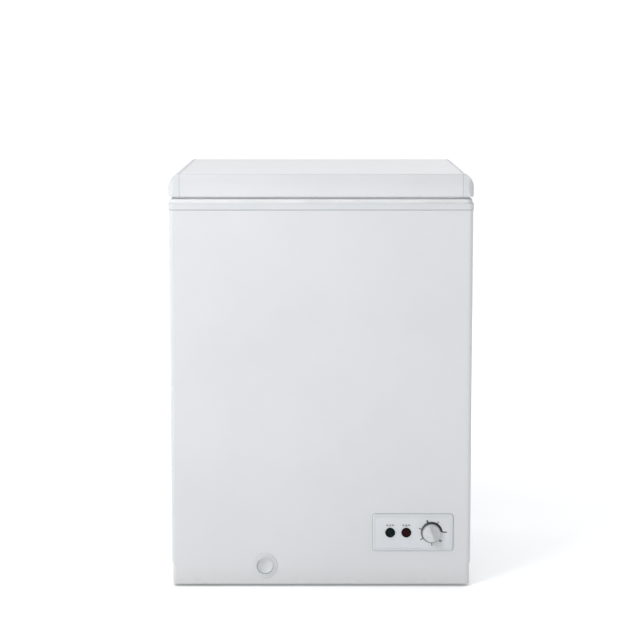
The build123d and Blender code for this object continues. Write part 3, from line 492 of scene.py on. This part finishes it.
# Painted shade in the lid's seams, where the moulded ends' edges shade the skin: dull, darker grey.
SEAM_PAINTED_SHADE = Finish("seam_painted_shade", "84878A", "797C80", 0.7, 0.08, patch=16, smear=6)
# Glass-filled black nylon: matt with a coarse spark-eroded texture.
BLACK_NYLON = Finish(
    "moulded_black_nylon", "1E1F21", "2A2B2D", 0.58, 0.1, patch=20, smear=10, ior=1.53,
    reliefs=(Relief(Pattern.MOTTLE, 1.2, 0.03),),
)
# Vulcanised rubber: dull black with a grey bloom.
BLACK_RUBBER = Finish(
    "vulcanised_black_rubber", "17181A", "2D2E30", 0.78, 0.1, patch=14, ior=1.52,
    reliefs=(Relief(Pattern.MOTTLE, 2.0, 0.04),),
)
# Dipped gloss enamel over deep-drawn steel: black, wet-looking, with runs.
DIPPED_ENAMEL = Finish(
    "dipped_black_enamel", "0E0F10", "16181A", 0.2, 0.07, patch=60, smear=25, coat=0.5,
    reliefs=(Relief(Pattern.FLOW, 14.0, 0.12, (1.0, 1.0, 0.35)),),
)
# Sand-cast iron with laminated steel: dark, rough, slightly brown.
SAND_CAST_IRON = Finish(
    "sand_cast_iron", "4A4744", "5B544C", 0.68, 0.1, patch=16, metallic=0.8,
    reliefs=(Relief(Pattern.PITS, 1.6, 0.2),),
)
# Drawn copper tube: salmon pink gone brown in patches, polished along its length.
DRAWN_COPPER = Finish(
    "drawn_copper_tube", "C98A6B", "8E5A41", 0.32, 0.1, patch=28, smear=12, metallic=1.0,
    reliefs=(Relief(Pattern.FLOW, 1.5, 0.01, (1.0, 1.0, 0.2)),),
)
# Bright zinc plate on cold-headed steel: blue-white, semi-gloss, dull on the heads' edges.
ZINC_PLATE = Finish(
    "zinc_plated_steel", "B9BEC4", "9FA4AA", 0.3, 0.1, patch=9, smear=6, metallic=1.0,
    reliefs=(Relief(Pattern.MOTTLE, 2.5, 0.02),),
)
# Silver lacquer over moulded ABS: a pale metallic satin with a fine sparkle.
SILVER_LACQUER = Finish(
    "silver_lacquered_abs", "CED0D2", "C2C4C7", 0.36, 0.06, patch=9, smear=6, metallic=0.35, ior=1.5, coat=0.2,
    reliefs=(Relief(Pattern.MOTTLE, 0.9, 0.006),),
)
# Vinyl-dipped wire: thick white skin with soft highlights and slight sags.
DIPPED_WIRE = Finish(
    "vinyl_dipped_wire", "E2E3E4", "D6D7D8", 0.3, 0.06, patch=30, smear=10, coat=0.2, subsurface=0.05,
    reliefs=(Relief(Pattern.MOTTLE, 5.0, 0.08),),
)
# Screen-printed solvent ink: matt dark grey, a film a tenth of a millimetre thick. The lamps' signs are paler.
PRINTED_INK = Finish("screen_printed_ink", "33363A", "43464A", 0.5, 0.06, patch=6, smear=4)
LABEL_INK = Finish("pale_screen_printed_ink", "595C61", "696C71", 0.5, 0.06, patch=6, smear=4)


# ---- meshes
def make_object(name: str, points: Sequence[Point3], faces: Sequence[Sequence[int]], crease: float) -> Piece:
    """Makes a smooth-shaded mesh object with its sharp edges marked.

    Args:
        name: The piece's name.
        points: Corners, in millimetres.
        faces: Corner numbers of each face.
        crease: Edges sharper than this many degrees stay sharp.

    Returns:
        The object, in the scene.
    """
    mesh = bpy.data.meshes.new(name)
    mesh.from_pydata([[c * MM for c in point] for point in points], [], faces)
    mesh.validate()
    mesh.shade_smooth()
    mesh.set_sharp_from_angle(angle=math.radians(crease))
    made = bpy.data.objects.new(name, mesh)
    bpy.context.scene.collection.objects.link(made)
    return made


def tube_faces(loops: int, count: int, closed: bool) -> list[tuple[int, ...]]:
    """Faces that join loops of equal length, one after the other.

    Args:
        loops: How many loops there are.
        count: How many points each has.
        closed: Whether the last loop joins the first. Otherwise both ends are capped.

    Returns:
        The faces, facing outwards when the loops run counter-clockwise about their direction of travel.
    """
    faces: list[tuple[int, ...]] = []
    for i in range(loops if closed else loops - 1):
        a, b = i * count, (i + 1) % loops * count
        faces += [(a + k, a + (k + 1) % count, b + (k + 1) % count, b + k) for k in range(count)]
    if not closed:
        faces.append(tuple(range(count - 1, -1, -1)))
        faces.append(tuple((loops - 1) * count + k for k in range(count)))
    return faces


def lofted(name: str, loops: Sequence[Sequence[Point3]], crease: float, closed: bool = True) -> Piece:
    """Joins loops of equal length into one skin.

    Args:
        name: The piece's name.
        loops: The loops.
        crease: Edges sharper than this many degrees stay sharp.
        closed: Whether the last loop joins the first. Otherwise both ends are capped.

    Returns:
        The object.
    """
    faces = tube_faces(len(loops), len(loops[0]), closed)
    return make_object(name, [point for loop in loops for point in loop], faces, crease)


def rounded_rectangle(half_x: float, half_y: float, radius: float, z: float) -> list[Point3]:
    """A level rounded rectangle about the Z axis, counter-clockwise from above.

    Args:
        half_x: Half its width.
        half_y: Half its depth.
        radius: Its corners' radius.
        z: Its height.

    Returns:
        Its points.
    """
    points = []
    for quarter, (sx, sy) in enumerate(((1, 1), (-1, 1), (-1, -1), (1, -1))):
        x, y = sx * (half_x - radius), sy * (half_y - radius)
        for k in range(CORNER_STEPS + 1):
            a = math.radians(90 * quarter + 90 * k / CORNER_STEPS)
            points.append((x + radius * math.cos(a), y + radius * math.sin(a), z))
    return points


def circle(x: float, y: float, z: float, radius: float, count: int) -> list[Point3]:
    """An upright circle of points, from +X towards +Z.

    Args:
        x: Its centre.
        y: Its place along its axis.
        z: Its centre.
        radius: Its radius.
        count: How many points it has.

    Returns:
        Its points.
    """
    turns = (FULL_TURN * k / count for k in range(count))
    return [(x + radius * math.cos(a), y, z + radius * math.sin(a)) for a in turns]


def arc_strip(centre: Point, inner: Point, outer: Point, start: float, end: float, steps: int) -> Strip:
    """A curved strip whose edges may draw apart along it.

    Args:
        centre: The arc's centre.
        inner: Inner radius at the start and at the end.
        outer: Outer radius at the start and at the end.
        start: Angle of the start, in degrees from +X towards +Z.
        end: Angle of the end.
        steps: Segments along it.

    Returns:
        The strip.
    """
    strip = []
    for k in range(steps + 1):
        t = k / steps
        a = math.radians(start + (end - start) * t)
        radii = (inner[0] + (inner[1] - inner[0]) * t, outer[0] + (outer[1] - outer[0]) * t)
        strip.append(tuple((centre[0] + r * math.cos(a), centre[1] + r * math.sin(a)) for r in radii))
    return strip


def stroke(points: Sequence[Point], width: float) -> list[Strip]:
    """Straight printed strokes from point to point.

    Args:
        points: The stroke's corners.
        width: Its width.

    Returns:
        One strip for each run.
    """
    strips = []
    for (x0, z0), (x1, z1) in zip(points, points[1:]):
        length = math.hypot(x1 - x0, z1 - z0)
        nx, nz = -(z1 - z0) / length * width / 2, (x1 - x0) / length * width / 2
        strips.append([((x0 - nx, z0 - nz), (x0 + nx, z0 + nz)), ((x1 - nx, z1 - nz), (x1 + nx, z1 + nz))])
    return strips


def printed(name: str, strips: Sequence[Strip], front: float, film: float) -> Piece:
    """Printed marks as one thin raised film on a surface that faces -Y.

    Args:
        name: The piece's name.
        strips: The marks.
        front: The surface's place on Y.
        film: The ink's thickness.

    Returns:
        The object.
    """
    points: list[Point3] = []
    faces: list[tuple[int, ...]] = []
    for strip in strips:
        base = len(points)
        for (ax, az), (bx, bz) in strip:
            points += [(ax, front, az), (bx, front, bz), (bx, front - film, bz), (ax, front - film, az)]
        faces += [tuple(base + i for i in face) for face in tube_faces(len(strip), 4, False)]
    return make_object(name, points, faces, crease=30)


# ---- sub-assemblies
@dataclass
class SubAssembly:
    """A part of the freezer that is dressed as one. Its nodes come from the frame."""

    def dress(self, finish: Finish, *nodes: str) -> None:
        """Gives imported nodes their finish.

        Args:
            finish: The finish.
            nodes: Names of the nodes.
        """
        for name in nodes:
            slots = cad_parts[name].data.materials
            slots.clear()
            slots.append(material(finish))
            LOG.info("dressed %s in %s", name, finish.name)

    def fit(self, piece: Piece, finish: Finish, body: str, slot: str) -> None:
        """Finishes a new piece and hangs it on its body.

        Args:
            piece: The piece.
            finish: Its finish.
            body: The body that carries it.
            slot: The record's material slot; not used.
        """
        piece.data.materials.clear()
        piece.data.materials.append(material(finish))
        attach(piece, body)
        LOG.info("made %s of %s on %s", piece.name, finish.name, body)


def middle(node: str) -> Vector:
    """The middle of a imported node's box, in millimetres."""
    low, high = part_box(node)
    return (low + high) / 2 / MM


@dataclass
class Cabinet(SubAssembly):
    """Outer sheets, rear panel, base, feet and the collar on the rim."""

    corner: float = 9.0
    # The joint strip's outer side: distance in from the collar's face, and height over the sheet's rim.
    strip_face: tuple[Point, ...] = ((0.25, -1.35), (0.1, -0.6), (0.1, 0.0))
    strip_depth: float = 0.6
    strip_drop: float = 1.5
    strip_lip: float = 0.05
    # A plug's section: distance out of the panel, and radius.
    plug_profile: tuple[Point, ...] = (
        (-0.5, 10.4), (0.0, 13.0), (0.455, 12.9), (0.91, 12.1), (1.3, 10.6), (1.3, 4.0), (0.715, 2.6),
    )
    plug_places: tuple[Point, ...] = ((-108.0, 700.0), (108.0, 700.0), (-108.0, 205.0), (-262.0, 205.0))
    plug_steps: int = 48
    panel_sheet: float = 0.8

    def build(self) -> None:
        """Dresses the shell and plugs the ports through which the foam was poured."""
        self.dress(BAKED_ENAMEL, "cabinet_wrapper")
        self.dress(GALVANISED, "rear_panel", "base_plate", "compressor_bulkhead", "machine_rear_cover")
        self.dress(MOULDED_ABS, "top_collar", "side_vent_grille")
        self.dress(BLACK_NYLON, "feet", "cord_gland")
        self.dress(ZINC_PLATE, "cover_screws")
        self.dress(POURED_FOAM, "cabinet_insulation")
        self.dress(STUCCO_ALUMINIUM, "inner_liner")
        self.foam_plugs()
        self.collar_joint()

    def collar_joint(self) -> None:
        """A thin grey strip of painted shade in the joint between the collar's band and the painted sheet: the shadow
        under the collar's lip.
        """
        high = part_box("cabinet_wrapper")[1]
        half_x, half_y, rim = high.x / MM, high.y / MM, high.z / MM
        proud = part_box("top_collar")[1].x / MM - half_x
        outer = [(inset - proud, rise) for inset, rise in self.strip_face]
        section = [(-self.strip_lip, -self.strip_drop), *outer, (self.strip_depth, 0.0)]
        section.append((self.strip_depth, -self.strip_drop))
        loops = []
        for inset, rise in section:
            radius = self.corner - inset
            loops.append(rounded_rectangle(half_x - inset, half_y - inset, radius, rim + rise))
        # Painted shade: a grey strip where the collar's lip shades the sheet.
        self.fit(lofted("collar_joint_painted_shade", loops, crease=40), JOINT_PAINTED_SHADE, "cabinet", "gasket_vinyl")

    def foam_plugs(self) -> None:
        """Domed plastic plugs in the rear panel."""
        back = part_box("rear_panel")[0].y / MM + self.panel_sheet
        for number, (x, z) in enumerate(self.plug_places, 1):
            rings = [circle(x, back + out, z, radius, self.plug_steps) for out, radius in self.plug_profile]
            plug = lofted(f"foam_port_plug_{number}", [ring[::-1] for ring in rings], crease=35, closed=False)
            self.fit(plug, MOULDED_ABS, "cabinet", "white_plastic")


class Sign(Enum):
    """What a lamp tells, and so the sign over it."""

    POWER = "power"
    ALARM = "alarm"


@dataclass
class ControlPanel(SubAssembly):
    """Front panel low on the right: bezel, two lamps, and the printed marks round them and round the knob."""

    corner: float = 6.0
    # The joint strip's section: distance in from the panel's edge, and height over the sheet.
    joint_section: tuple[Point, ...] = ((-1.1, 0.0), (-1.0, 0.35), (-0.5, 0.45), (0.5, 0.45), (0.5, 0.0))
    # A lamp rim's section: distance out of the print, and what is added to the lens's radius.
    rim_section: tuple[Point, ...] = ((0.0, -0.1), (0.5, 0.0), (0.95, -0.1), (1.1, -0.4), (0.9, -0.7), (0.0, -0.7))
    rim_steps: int = 64
    film: float = 0.12
    wedge_inner: float = 17.6
    wedge_thin: float = 21.6
    wedge_thick: float = 22.8
    wedge_start: float = 3.0
    wedge_end: float = 322.0
    wedge_steps: int = 140
    # Each tick's angle in degrees from +X towards +Z, its width, and how far from the knob's axis it ends.
    ticks: tuple[Point3, ...] = (
        (57, 1.7, 27.4), (110, 3.2, 27.2), (161, 1.8, 27.0), (214, 1.7, 27.6), (272, 1.3, 28.2),
    )
    tick_foot: float = 21.2
    long_mark: tuple[Point, Point] = ((21.0, 1.2), (31.4, 0.6))
    long_mark_width: float = 2.4
    off_place: Point = (18.2, -17.3)
    off_radii: Point = (1.0, 2.5)
    off_steps: int = 40
    off_tail: Point = (2.9, 3.9)
    off_tail_width: float = 2.2
    sign_rise: float = 15.0
    sign_height: float = 4.4
    sign_line: float = 0.8
    switch_inner: float = 1.3
    switch_arc: Point = (125.0, 415.0)
    switch_steps: int = 30
    switch_lift: float = 0.2
    triangle_foot: float = 0.85
    triangle_line: float = 0.85
    alarm_dash: Point = (-0.9, 0.7)
    # Each bar beside a sign: where it starts and ends, its height over the sign's middle, and its width.
    bars: tuple[tuple[float, float, float, float], ...] = ((3.6, 8.2, 0.0, 1.5), (4.4, 7.2, 1.5, 0.7))

    def build(self) -> None:
        """Dresses the panel and prints it."""
        self.dress(PANEL_ABS, "control_panel_bezel")
        self.dress(BLACK_NYLON, "control_box", "thermostat_body", "lamp_holders")
        self.dress(ZINC_PLATE, "thermostat_shaft")
        self.dress(DRAWN_COPPER, "thermostat_sensor_tube")
        self.joint()
        self.lamps()
        self.scale()
        self.symbols()

    def lamps(self) -> None:
        """Dresses both lenses, each with painted light and shade about its own axis, and sets them in thin rims."""
        # Tinted polycarbonate, moulded: almost black while unlit, with painted light in the middle that shows a hint
        # of its colour, and painted shade at its rim.
        tints = {"power_lamp_lens": ("clear_green_polycarbonate", "040808", "081918", "green_lens"),
                 "alarm_lamp_lens": ("clear_red_polycarbonate", "100103", "270307", "red_lens")}
        for node, (name, rim, painted_light_heart, slot) in tints.items():
            centre = middle(node)
            radius = (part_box(node)[1].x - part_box(node)[0].x) / 2 / MM
            lens = LampLens(name, rim, rim, 0.22, 0.04, ior=1.585, specular=0.06, centre=(centre.x, centre.z),
                            radius=radius, painted_light_heart=painted_light_heart, reliefs=(Relief(Pattern.MOTTLE, 6.0, 0.03),))
            self.dress(lens, node)
            front = self.front() - self.film
            loops = [circle(centre.x, front - out, centre.z, radius + extra, self.rim_steps)
                     for out, extra in self.rim_section]
            self.fit(lofted(node.replace("lens", "rim"), loops, crease=50), lens, "cabinet", slot)

    def joint(self) -> None:
        """A thin grey strip of painted shade round the panel, where it meets the painted sheet: the shade in the
        groove there.
        """
        low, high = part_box("control_panel_bezel")
        x, z = (low.x + high.x) / 2 / MM, (low.z + high.z) / 2 / MM
        half_x, half_z = (high.x - low.x) / 2 / MM, (high.z - low.z) / 2 / MM
        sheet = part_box("cabinet_wrapper")[0].y / MM
        loops = []
        for inset, rise in self.joint_section:
            radius = self.corner - inset
            flat = rounded_rectangle(half_x - inset, half_z - inset, radius, 0)
            loops.append([(x + px, sheet - rise, z + pz) for px, pz, _ in flat])
        # Painted shade: a grey strip in the groove round the panel.
        self.fit(lofted("panel_joint_painted_shade", loops, crease=40), JOINT_PAINTED_SHADE, "cabinet", "gasket_vinyl")

    def front(self) -> float:
        """The panel's face, on Y, in millimetres."""
        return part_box("control_panel_bezel")[0].y / MM

    def print_marks(self, name: str, marks: Sequence[Strip], ink: Finish) -> None:
        """Prints marks on the panel's face.

        Args:
            name: The piece's name.
            marks: The marks.
            ink: The ink.
        """
        self.fit(printed(name, marks, self.front(), self.film), ink, "cabinet", "black_plastic")

    def scale(self) -> None:
        """Prints the temperature wedge, its ticks, the long mark at the coldest end, and a ring for off."""
        knob = middle("knob_cap")
        x, z = centre = (knob.x, knob.z)
        ink = DialInk("fading_screen_printed_ink", "202327", "2B2E32", 0.5, 0.05, patch=8,
                      centre=centre, end=self.wedge_end)
        inner, outer = (self.wedge_inner, self.wedge_inner), (self.wedge_thick, self.wedge_thin)
        wedge = arc_strip(centre, inner, outer, self.wedge_start, self.wedge_end, self.wedge_steps)
        self.print_marks("dial_wedge", [wedge], ink)
        marks = []
        for angle, width, reach in self.ticks:
            a = math.radians(angle)
            ends = [(x + r * math.cos(a), z + r * math.sin(a)) for r in (self.tick_foot, reach)]
            marks += stroke(ends, width)
        marks += stroke([(x + across, z + up) for across, up in self.long_mark], self.long_mark_width)
        self.print_marks("dial_ticks", marks, PRINTED_INK)
        off_x, off_z = off = (x + self.off_place[0], z + self.off_place[1])
        small, large = self.off_radii
        ring = [arc_strip(off, (small, small), (large, large), 0, 360, self.off_steps)]
        ring += stroke([(off_x + reach, off_z) for reach in self.off_tail], self.off_tail_width)
        self.print_marks("dial_off_mark", ring, PRINTED_INK)

    def symbols(self) -> None:
        """Prints a small sign over each lamp: a switch sign for power and a triangle for the alarm."""
        half = self.sign_height / 2
        for node, sign in (("power_lamp_lens", Sign.POWER), ("alarm_lamp_lens", Sign.ALARM)):
            x, z = middle(node).x, middle(node).z + self.sign_rise
            if sign is Sign.POWER:
                inner = (self.switch_inner, self.switch_inner)
                marks = [arc_strip((x, z), inner, (half, half), *self.switch_arc, self.switch_steps)]
                marks += stroke([(x, z + self.switch_lift), (x, z + half + self.switch_lift)], self.sign_line)
            else:
                foot = z - self.triangle_foot * half
                corners = [(x - half, foot), (x + half, foot), (x, z + half)]
                marks = stroke([*corners, corners[0]], self.triangle_line)
                marks += stroke([(x, z + rise) for rise in self.alarm_dash], self.sign_line)
            for side in (-1, 1):
                for start, end, rise, width in self.bars:
                    marks += stroke([(x + side * start, z + rise), (x + side * end, z + rise)], width)
            self.print_marks(f"{sign.value}_lamp_sign", marks, LABEL_INK)


@dataclass
class Knob(SubAssembly):
    """Thermostat knob: a silver cap with a crest across it that falls away to both sides, and a ribbed edge."""

    pointer: float = 110.0
    narrower: float = 0.7
    crest: float = 1.1
    scoop: float = 17.5
    floor: float = 3.8
    fall_off: float = 1.35
    edge_radius: float = 1.5
    end_round: float = 3.0
    # The wall's foot: distance in from the wall, and height over the panel.
    foot_round: tuple[Point, ...] = ((1.0, 0.0), (0.4, 0.3))
    foot_height: float = 1.0
    ribs: int = 60
    rib_steps: int = 4
    rib_rise: float = 0.3
    rings: int = 26
    ring_crowding: float = 0.8
    least_ring: float = 0.02

    def build(self) -> None:
        """Makes the knob in one moulding, in place of the plain cap and flange."""
        cap = self.cap()
        self.fit(cap, SILVER_LACQUER, "knob", "knob_silver")
        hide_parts("knob_cap", "knob_skirt")

    def rise(self, across: float, along: float, radius: float, top: float) -> float:
        """Height of the cap's face over its back.

        Args:
            across: Distance from the crest's line.
            along: Distance along the crest from the knob's axis.
            radius: The cap's radius.
            top: The crest's height.

        Returns:
            The height.
        """
        fall = min(1.0, max(0.0, (abs(across) - self.crest) / self.scoop))
        flank = (1 - fall) ** self.fall_off
        end = min(1.0, max(0.0, (radius - abs(along)) / self.end_round))
        return self.floor + (top - self.floor) * flank * math.sin(end * math.pi / 2) ** 0.5

    def cap(self) -> Piece:
        """Builds the cap: a ribbed wall, a rounded edge, and the scooped face in rings about the axis.

        Returns:
            The object.
        """
        low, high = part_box("knob_cap")
        centre, radius = middle("knob_cap"), (high.x - low.x) / 2 / MM - self.rib_rise - self.narrower
        back, top, count = high.y / MM, (high.y - low.y) / MM, self.rib_steps * self.ribs
        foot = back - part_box("knob_skirt")[1].y / MM
        turn = math.radians(self.pointer)
        ux, uz = math.cos(turn), math.sin(turn)
        rings = [(radius - inset, foot + rise, False) for inset, rise in self.foot_round]
        rings += [(radius, foot + self.foot_height, True), (radius, self.floor - self.edge_radius, True)]
        shares = [1 - (k / self.rings) ** self.ring_crowding for k in range(self.rings)]
        rings += [(radius * share - self.least_ring, None, False) for share in shares]
        loops = []
        for reach, height, ribbed in rings:
            loops.append([])
            for k in range(count):
                a = FULL_TURN * k / count
                raised = ribbed and k % self.rib_steps in (1, 2)
                r = max(reach, self.least_ring) + (self.rib_rise if raised else 0.0)
                x, z = r * math.cos(a), r * math.sin(a)
                lift = height
                if lift is None:
                    lift = self.rise(z * ux - x * uz, x * ux + z * uz, radius, top)
                    near = max(0.0, r - (radius - self.edge_radius)) / self.edge_radius
                    lift -= self.edge_radius * (1 - math.sqrt(max(0.0, 1 - near * near)))
                loops[-1].append((centre.x + x, back - lift, centre.z + z))
        return lofted("knob_scooped_cap", loops, crease=45, closed=False)


@dataclass
class Drain(SubAssembly):
    """Drain outlet low on the left of the front, its tube, and the stopper in the well."""

    def build(self) -> None:
        """Dresses the drain's parts."""
        self.dress(MOULDED_ABS, "drain_housing", "drain_cap", "drain_spout", "drain_tube", "liner_drain_plug")


@dataclass
class Lid(SubAssembly):
    """Lid: enamelled skin between two moulded ends, formed inner panel, foam, and the bellows seal."""

    corner: float = 15.0
    least_corner: float = 1.0
    seam_width: float = 0.55
    seam_reach: float = 0.02
    seam_rise: float = 0.04
    seam_depth: float = 0.5
    seal_overhang: float = 1.5
    # The seal's section: distance in from its outer face, and height over its foot. It climbs the outer side from
    # the foot's middle to the flange, and comes down the inner side.
    outer_fold: tuple[Point, ...] = (
        (8.8, 0.0), (3.4, 0.0), (2.2, -0.1), (1.4, -0.45), (0.9, -0.35), (0.8, 0.6), (1.0, 3.0), (1.6, 3.9),
        (1.4, 4.6), (1.5, 6.4), (1.8, 7.6), (2.6, 8.4), (4.4, 8.8), (6.0, 9.1), (6.8, 9.8), (6.9, 10.6),
        (6.3, 11.5), (6.3, 12.4), (6.9, 13.2), (6.6, 14.0), (5.4, 14.5), (4.4, 14.7), (4.1, 15.2),
    )
    flange: Point = (4.3, 17.6)
    inner_fold: tuple[Point, ...] = (
        (17.9, 15.2), (17.5, 14.7), (14.6, 14.5), (13.1, 13.8), (12.3, 13.0), (12.9, 12.2), (12.9, 11.4),
        (12.2, 10.6), (12.4, 9.6), (13.4, 8.9), (15.0, 8.4), (15.8, 7.5), (16.0, 6.0), (15.6, 4.6), (16.0, 3.2),
        (15.9, 1.6), (15.2, 0.5), (13.2, 0.0),
    )

    def build(self) -> None:
        """Dresses the lid and makes its seal."""
        self.dress(LID_ENAMEL, "lid_skin")
        self.dress(MOULDED_ABS, "lid_end_cap_left", "lid_end_cap_right")
        self.dress(FORMED_POLYSTYRENE, "lid_inner_panel")
        self.dress(POURED_FOAM, "lid_insulation")
        self.seal()
        self.seams()

    def seams(self) -> None:
        """Lays a darker strip of painted shade in each seam between the skin and a moulded end, all round its
        outline.
        """
        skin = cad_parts["lid_skin"].data
        low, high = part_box("lid_skin")
        width, rise, depth = self.seam_width, self.seam_rise, -self.seam_depth
        section = ((0.0, depth), (0.0, rise), (width, rise), (width, depth))
        for side, edge, out in (("left", low.x, -1), ("right", high.x, 1)):
            ends = [v.co for v in skin.vertices if abs(v.co.x - edge) < self.seam_reach * MM]
            rim = [Vector((end.y / MM, end.z / MM)) for end in ends]
            outline = [rim[k] for k in convex_hull_2d(rim)]
            middle_z = sum(point.y for point in outline) / len(outline)
            loops = []
            for k, here in enumerate(outline):
                run = outline[(k + 1) % len(outline)] - outline[k - 1]
                away = Vector((run.y, -run.x)).normalized()
                if away.dot(here - Vector((0.0, middle_z))) < 0:
                    away = -away
                spots = [(x, here + away * proud) for x, proud in section]
                loops.append([(edge / MM + out * x, spot.x, spot.y) for x, spot in spots])
            # Painted shade: a dark strip where each moulded end's edge shades the skin.
            shade_strip = lofted(f"lid_seam_painted_shade_{side}", loops, crease=40)
            self.fit(shade_strip, SEAM_PAINTED_SHADE, "lid", "gasket_vinyl")

    def seal(self) -> None:
        """Sweeps the seal's section round the lid: sealing chamber, two folds, and the flange held by the lid."""
        low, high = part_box("lid_gasket")
        foot, top = low.z / MM, high.z / MM
        half_x, half_y = high.x / MM + self.seal_overhang, high.y / MM + self.seal_overhang
        section = (*self.outer_fold, *((inset, top - foot) for inset in self.flange), *self.inner_fold)
        loops = []
        for inset, rise in section:
            radius = max(self.corner - inset, self.least_corner)
            loops.append(rounded_rectangle(half_x - inset, half_y - inset, radius, foot + rise))
        seal = lofted("lid_bellows_seal", loops, crease=50)
        self.fit(seal, EXTRUDED_VINYL, "lid", "gasket_vinyl")
        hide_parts("lid_gasket")


@dataclass
class Hinges(SubAssembly):
    """Two sprung hinges on the back."""

    def build(self) -> None:
        """Dresses the hinges."""
        self.dress(GALVANISED, "hinge_brackets", "hinge_arms")
        self.dress(ZINC_PLATE, "hinge_bracket_screws", "hinge_arm_screws", "hinge_pins", "hinge_springs")


@dataclass
class Refrigeration(SubAssembly):
    """Compressor, coils and pipes in the machine compartment and in the foam."""

    def build(self) -> None:
        """Dresses the circuit."""
        self.dress(DIPPED_ENAMEL, "compressor_shell")
        self.dress(SAND_CAST_IRON, "compressor_motor")
        self.dress(BLACK_RUBBER, "compressor_grommets", "wiring_harness")
        self.dress(ZINC_PLATE, "compressor_bolts")
        self.dress(GALVANISED, "compressor_rails")
        self.dress(BLACK_NYLON, "compressor_terminal_cover")
        self.dress(DRAWN_COPPER, "evaporator_coil", "condenser_coil", "suction_pipe", "discharge_pipe",
                   "capillary_tube", "filter_drier")


@dataclass
class Basket(SubAssembly):
    """Wire basket that hangs on the collar's ledge and slides along it."""

    def build(self) -> None:
        """Dresses the wires and the grips."""
        self.dress(DIPPED_WIRE, "basket_rim", "basket_front", "basket_back", "basket_left", "basket_right",
                   "basket_floor")
        self.dress(MOULDED_ABS, "basket_grips")


# ---- studio
@dataclass
class Studio:
    """Plain pale floor that glows, least round the freezer, which leaves painted shade there; a bright room; and soft
    lamps: front left, and behind on the right.
    """

    floor_reach: float = 30000.0
    floor_drop: float = 0.05
    floor_glow: float = 0.45
    room_front: float = 0.13
    room_back: float = 1.06
    overhead: float = 0.73
    # How far back, and how far up, a direction points where the room's light starts and stops to change.
    back_limits: Point = (-0.1, 0.35)
    up_limits: Point = (0.15, 0.75)
    lamps: tuple[tuple[str, Point3, Point3, float, float], ...] = (
        ("key_softbox", (-1.35, -1.8, 1.95), (-0.15, -0.26, 0.5), 1.1, 36.0),
        ("rear_softbox", (1.6, 2.6, 1.9), (0.0, 0.2, 0.5), 1.6, 22.0),
    )

    def build(self) -> None:
        """Makes the floor, the room's light and the lamps."""
        self.floor()
        self.room()
        for name, place, target, side, power in self.lamps:
            self.softbox(name, place, target, side, power)
        bpy.context.scene.view_settings.view_transform = "Standard"

    def floor(self) -> None:
        """Lays the floor, just below the feet's soles."""
        reach, level = self.floor_reach, -self.floor_drop
        corners = [(-reach, -reach, level), (reach, -reach, level), (reach, reach, level), (-reach, reach, level)]
        floor = make_object("studio_floor", corners, [(0, 1, 2, 3)], crease=30)
        # Acid-etched glass: matt, almost white, with a faint waviness of tone. Its glow is weakest round the freezer,
        # which leaves painted shade there.
        glass = GlowingFloorPaintedShade("glowing_floor_painted_shade", "F6F7F7", "F3F4F5", 0.8, 0.05, patch=900, smear=300,
                           glow=self.floor_glow)
        floor.data.materials.append(material(glass))

    def room(self) -> None:
        """Lights the room: brightest behind the freezer, dim in front, and between the two overhead."""
        world = bpy.data.worlds.new("bright_room")
        bpy.context.scene.world = world
        world.use_nodes = True
        tree = world.node_tree
        tree.nodes.clear()
        axes = add(tree, "SeparateXYZ", None, {0: add(tree, "TexCoord").outputs["Generated"]}).outputs
        smooth = {"interpolation_type": "SMOOTHSTEP"}
        start, stop = self.back_limits
        depth = {"Value": axes[1], "From Min": start, "From Max": stop, "To Min": self.room_front,
                 "To Max": self.room_back}
        level = add(tree, "MapRange", smooth, depth).outputs[0]
        start, stop = self.up_limits
        height = {"Value": axes[2], "From Min": start, "From Max": stop, "To Min": level, "To Max": self.overhead}
        strength = add(tree, "MapRange", smooth, height).outputs[0]
        light = add(tree, "Background", None, {"Color": linear("FEFEFF"), "Strength": strength}).outputs[0]
        add(tree, "OutputWorld", None, {"Surface": light})

    def softbox(self, name: str, place: Point3, target: Point3, side: float, power: float) -> None:
        """Hangs one square soft lamp.

        Args:
            name: Its name.
            place: Where it hangs, in metres.
            target: What it faces.
            side: Its side, in metres.
            power: Its power, in watts.
        """
        lamp = bpy.data.lights.new(name, "AREA")
        lamp.shape, lamp.size, lamp.energy = "SQUARE", side, power
        made = bpy.data.objects.new(name, lamp)
        made.location = place
        made.rotation_euler = (Vector(target) - Vector(place)).to_track_quat("-Z", "Y").to_euler()
        bpy.context.scene.collection.objects.link(made)
        LOG.info("hung %s", name)


@dataclass
class Viewpoint:
    """Camera in front of the freezer, above its lid, tilted down. Places are in metres and angles in degrees."""

    distance: float = 3.8
    height: float = 1.092
    sideways: float = -0.0024
    pitch: float = 6.73
    lens: float = 106.9
    shift: float = -0.07
    sensor: float = 36.0
    clip: Point = (0.1, 100.0)

    def build(self) -> None:
        """Places the camera."""
        data = bpy.data.cameras.new("viewpoint")
        data.lens, data.sensor_width, data.shift_y = self.lens, self.sensor, self.shift
        data.clip_start, data.clip_end = self.clip
        camera = bpy.data.objects.new("viewpoint", data)
        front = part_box("cabinet_wrapper")[0].y
        camera.location = (self.sideways, front - self.distance, self.height)
        camera.rotation_euler = (math.radians(90 - self.pitch), 0.0, 0.0)
        bpy.context.scene.collection.objects.link(camera)
        bpy.context.scene.camera = camera


def main() -> None:
    """Builds every sub-assembly in order, then the studio and the camera."""
    logging.basicConfig(level=logging.INFO, format="%(name)s: %(message)s")
    Viewpoint().build()
    for sub_assembly in (Cabinet(), ControlPanel(), Knob(), Drain(), Lid(), Hinges(), Refrigeration(), Basket()):
        sub_assembly.build()
        LOG.info("finished the %s", type(sub_assembly).__name__.lower())
    Studio().build()
    bare = [name for name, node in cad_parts.items() if not node.hide_render and not node.data.materials]
    if bare:
        LOG.warning("nodes with no finish: %s", ", ".join(bare))


if __name__ == "__main__":
    main()
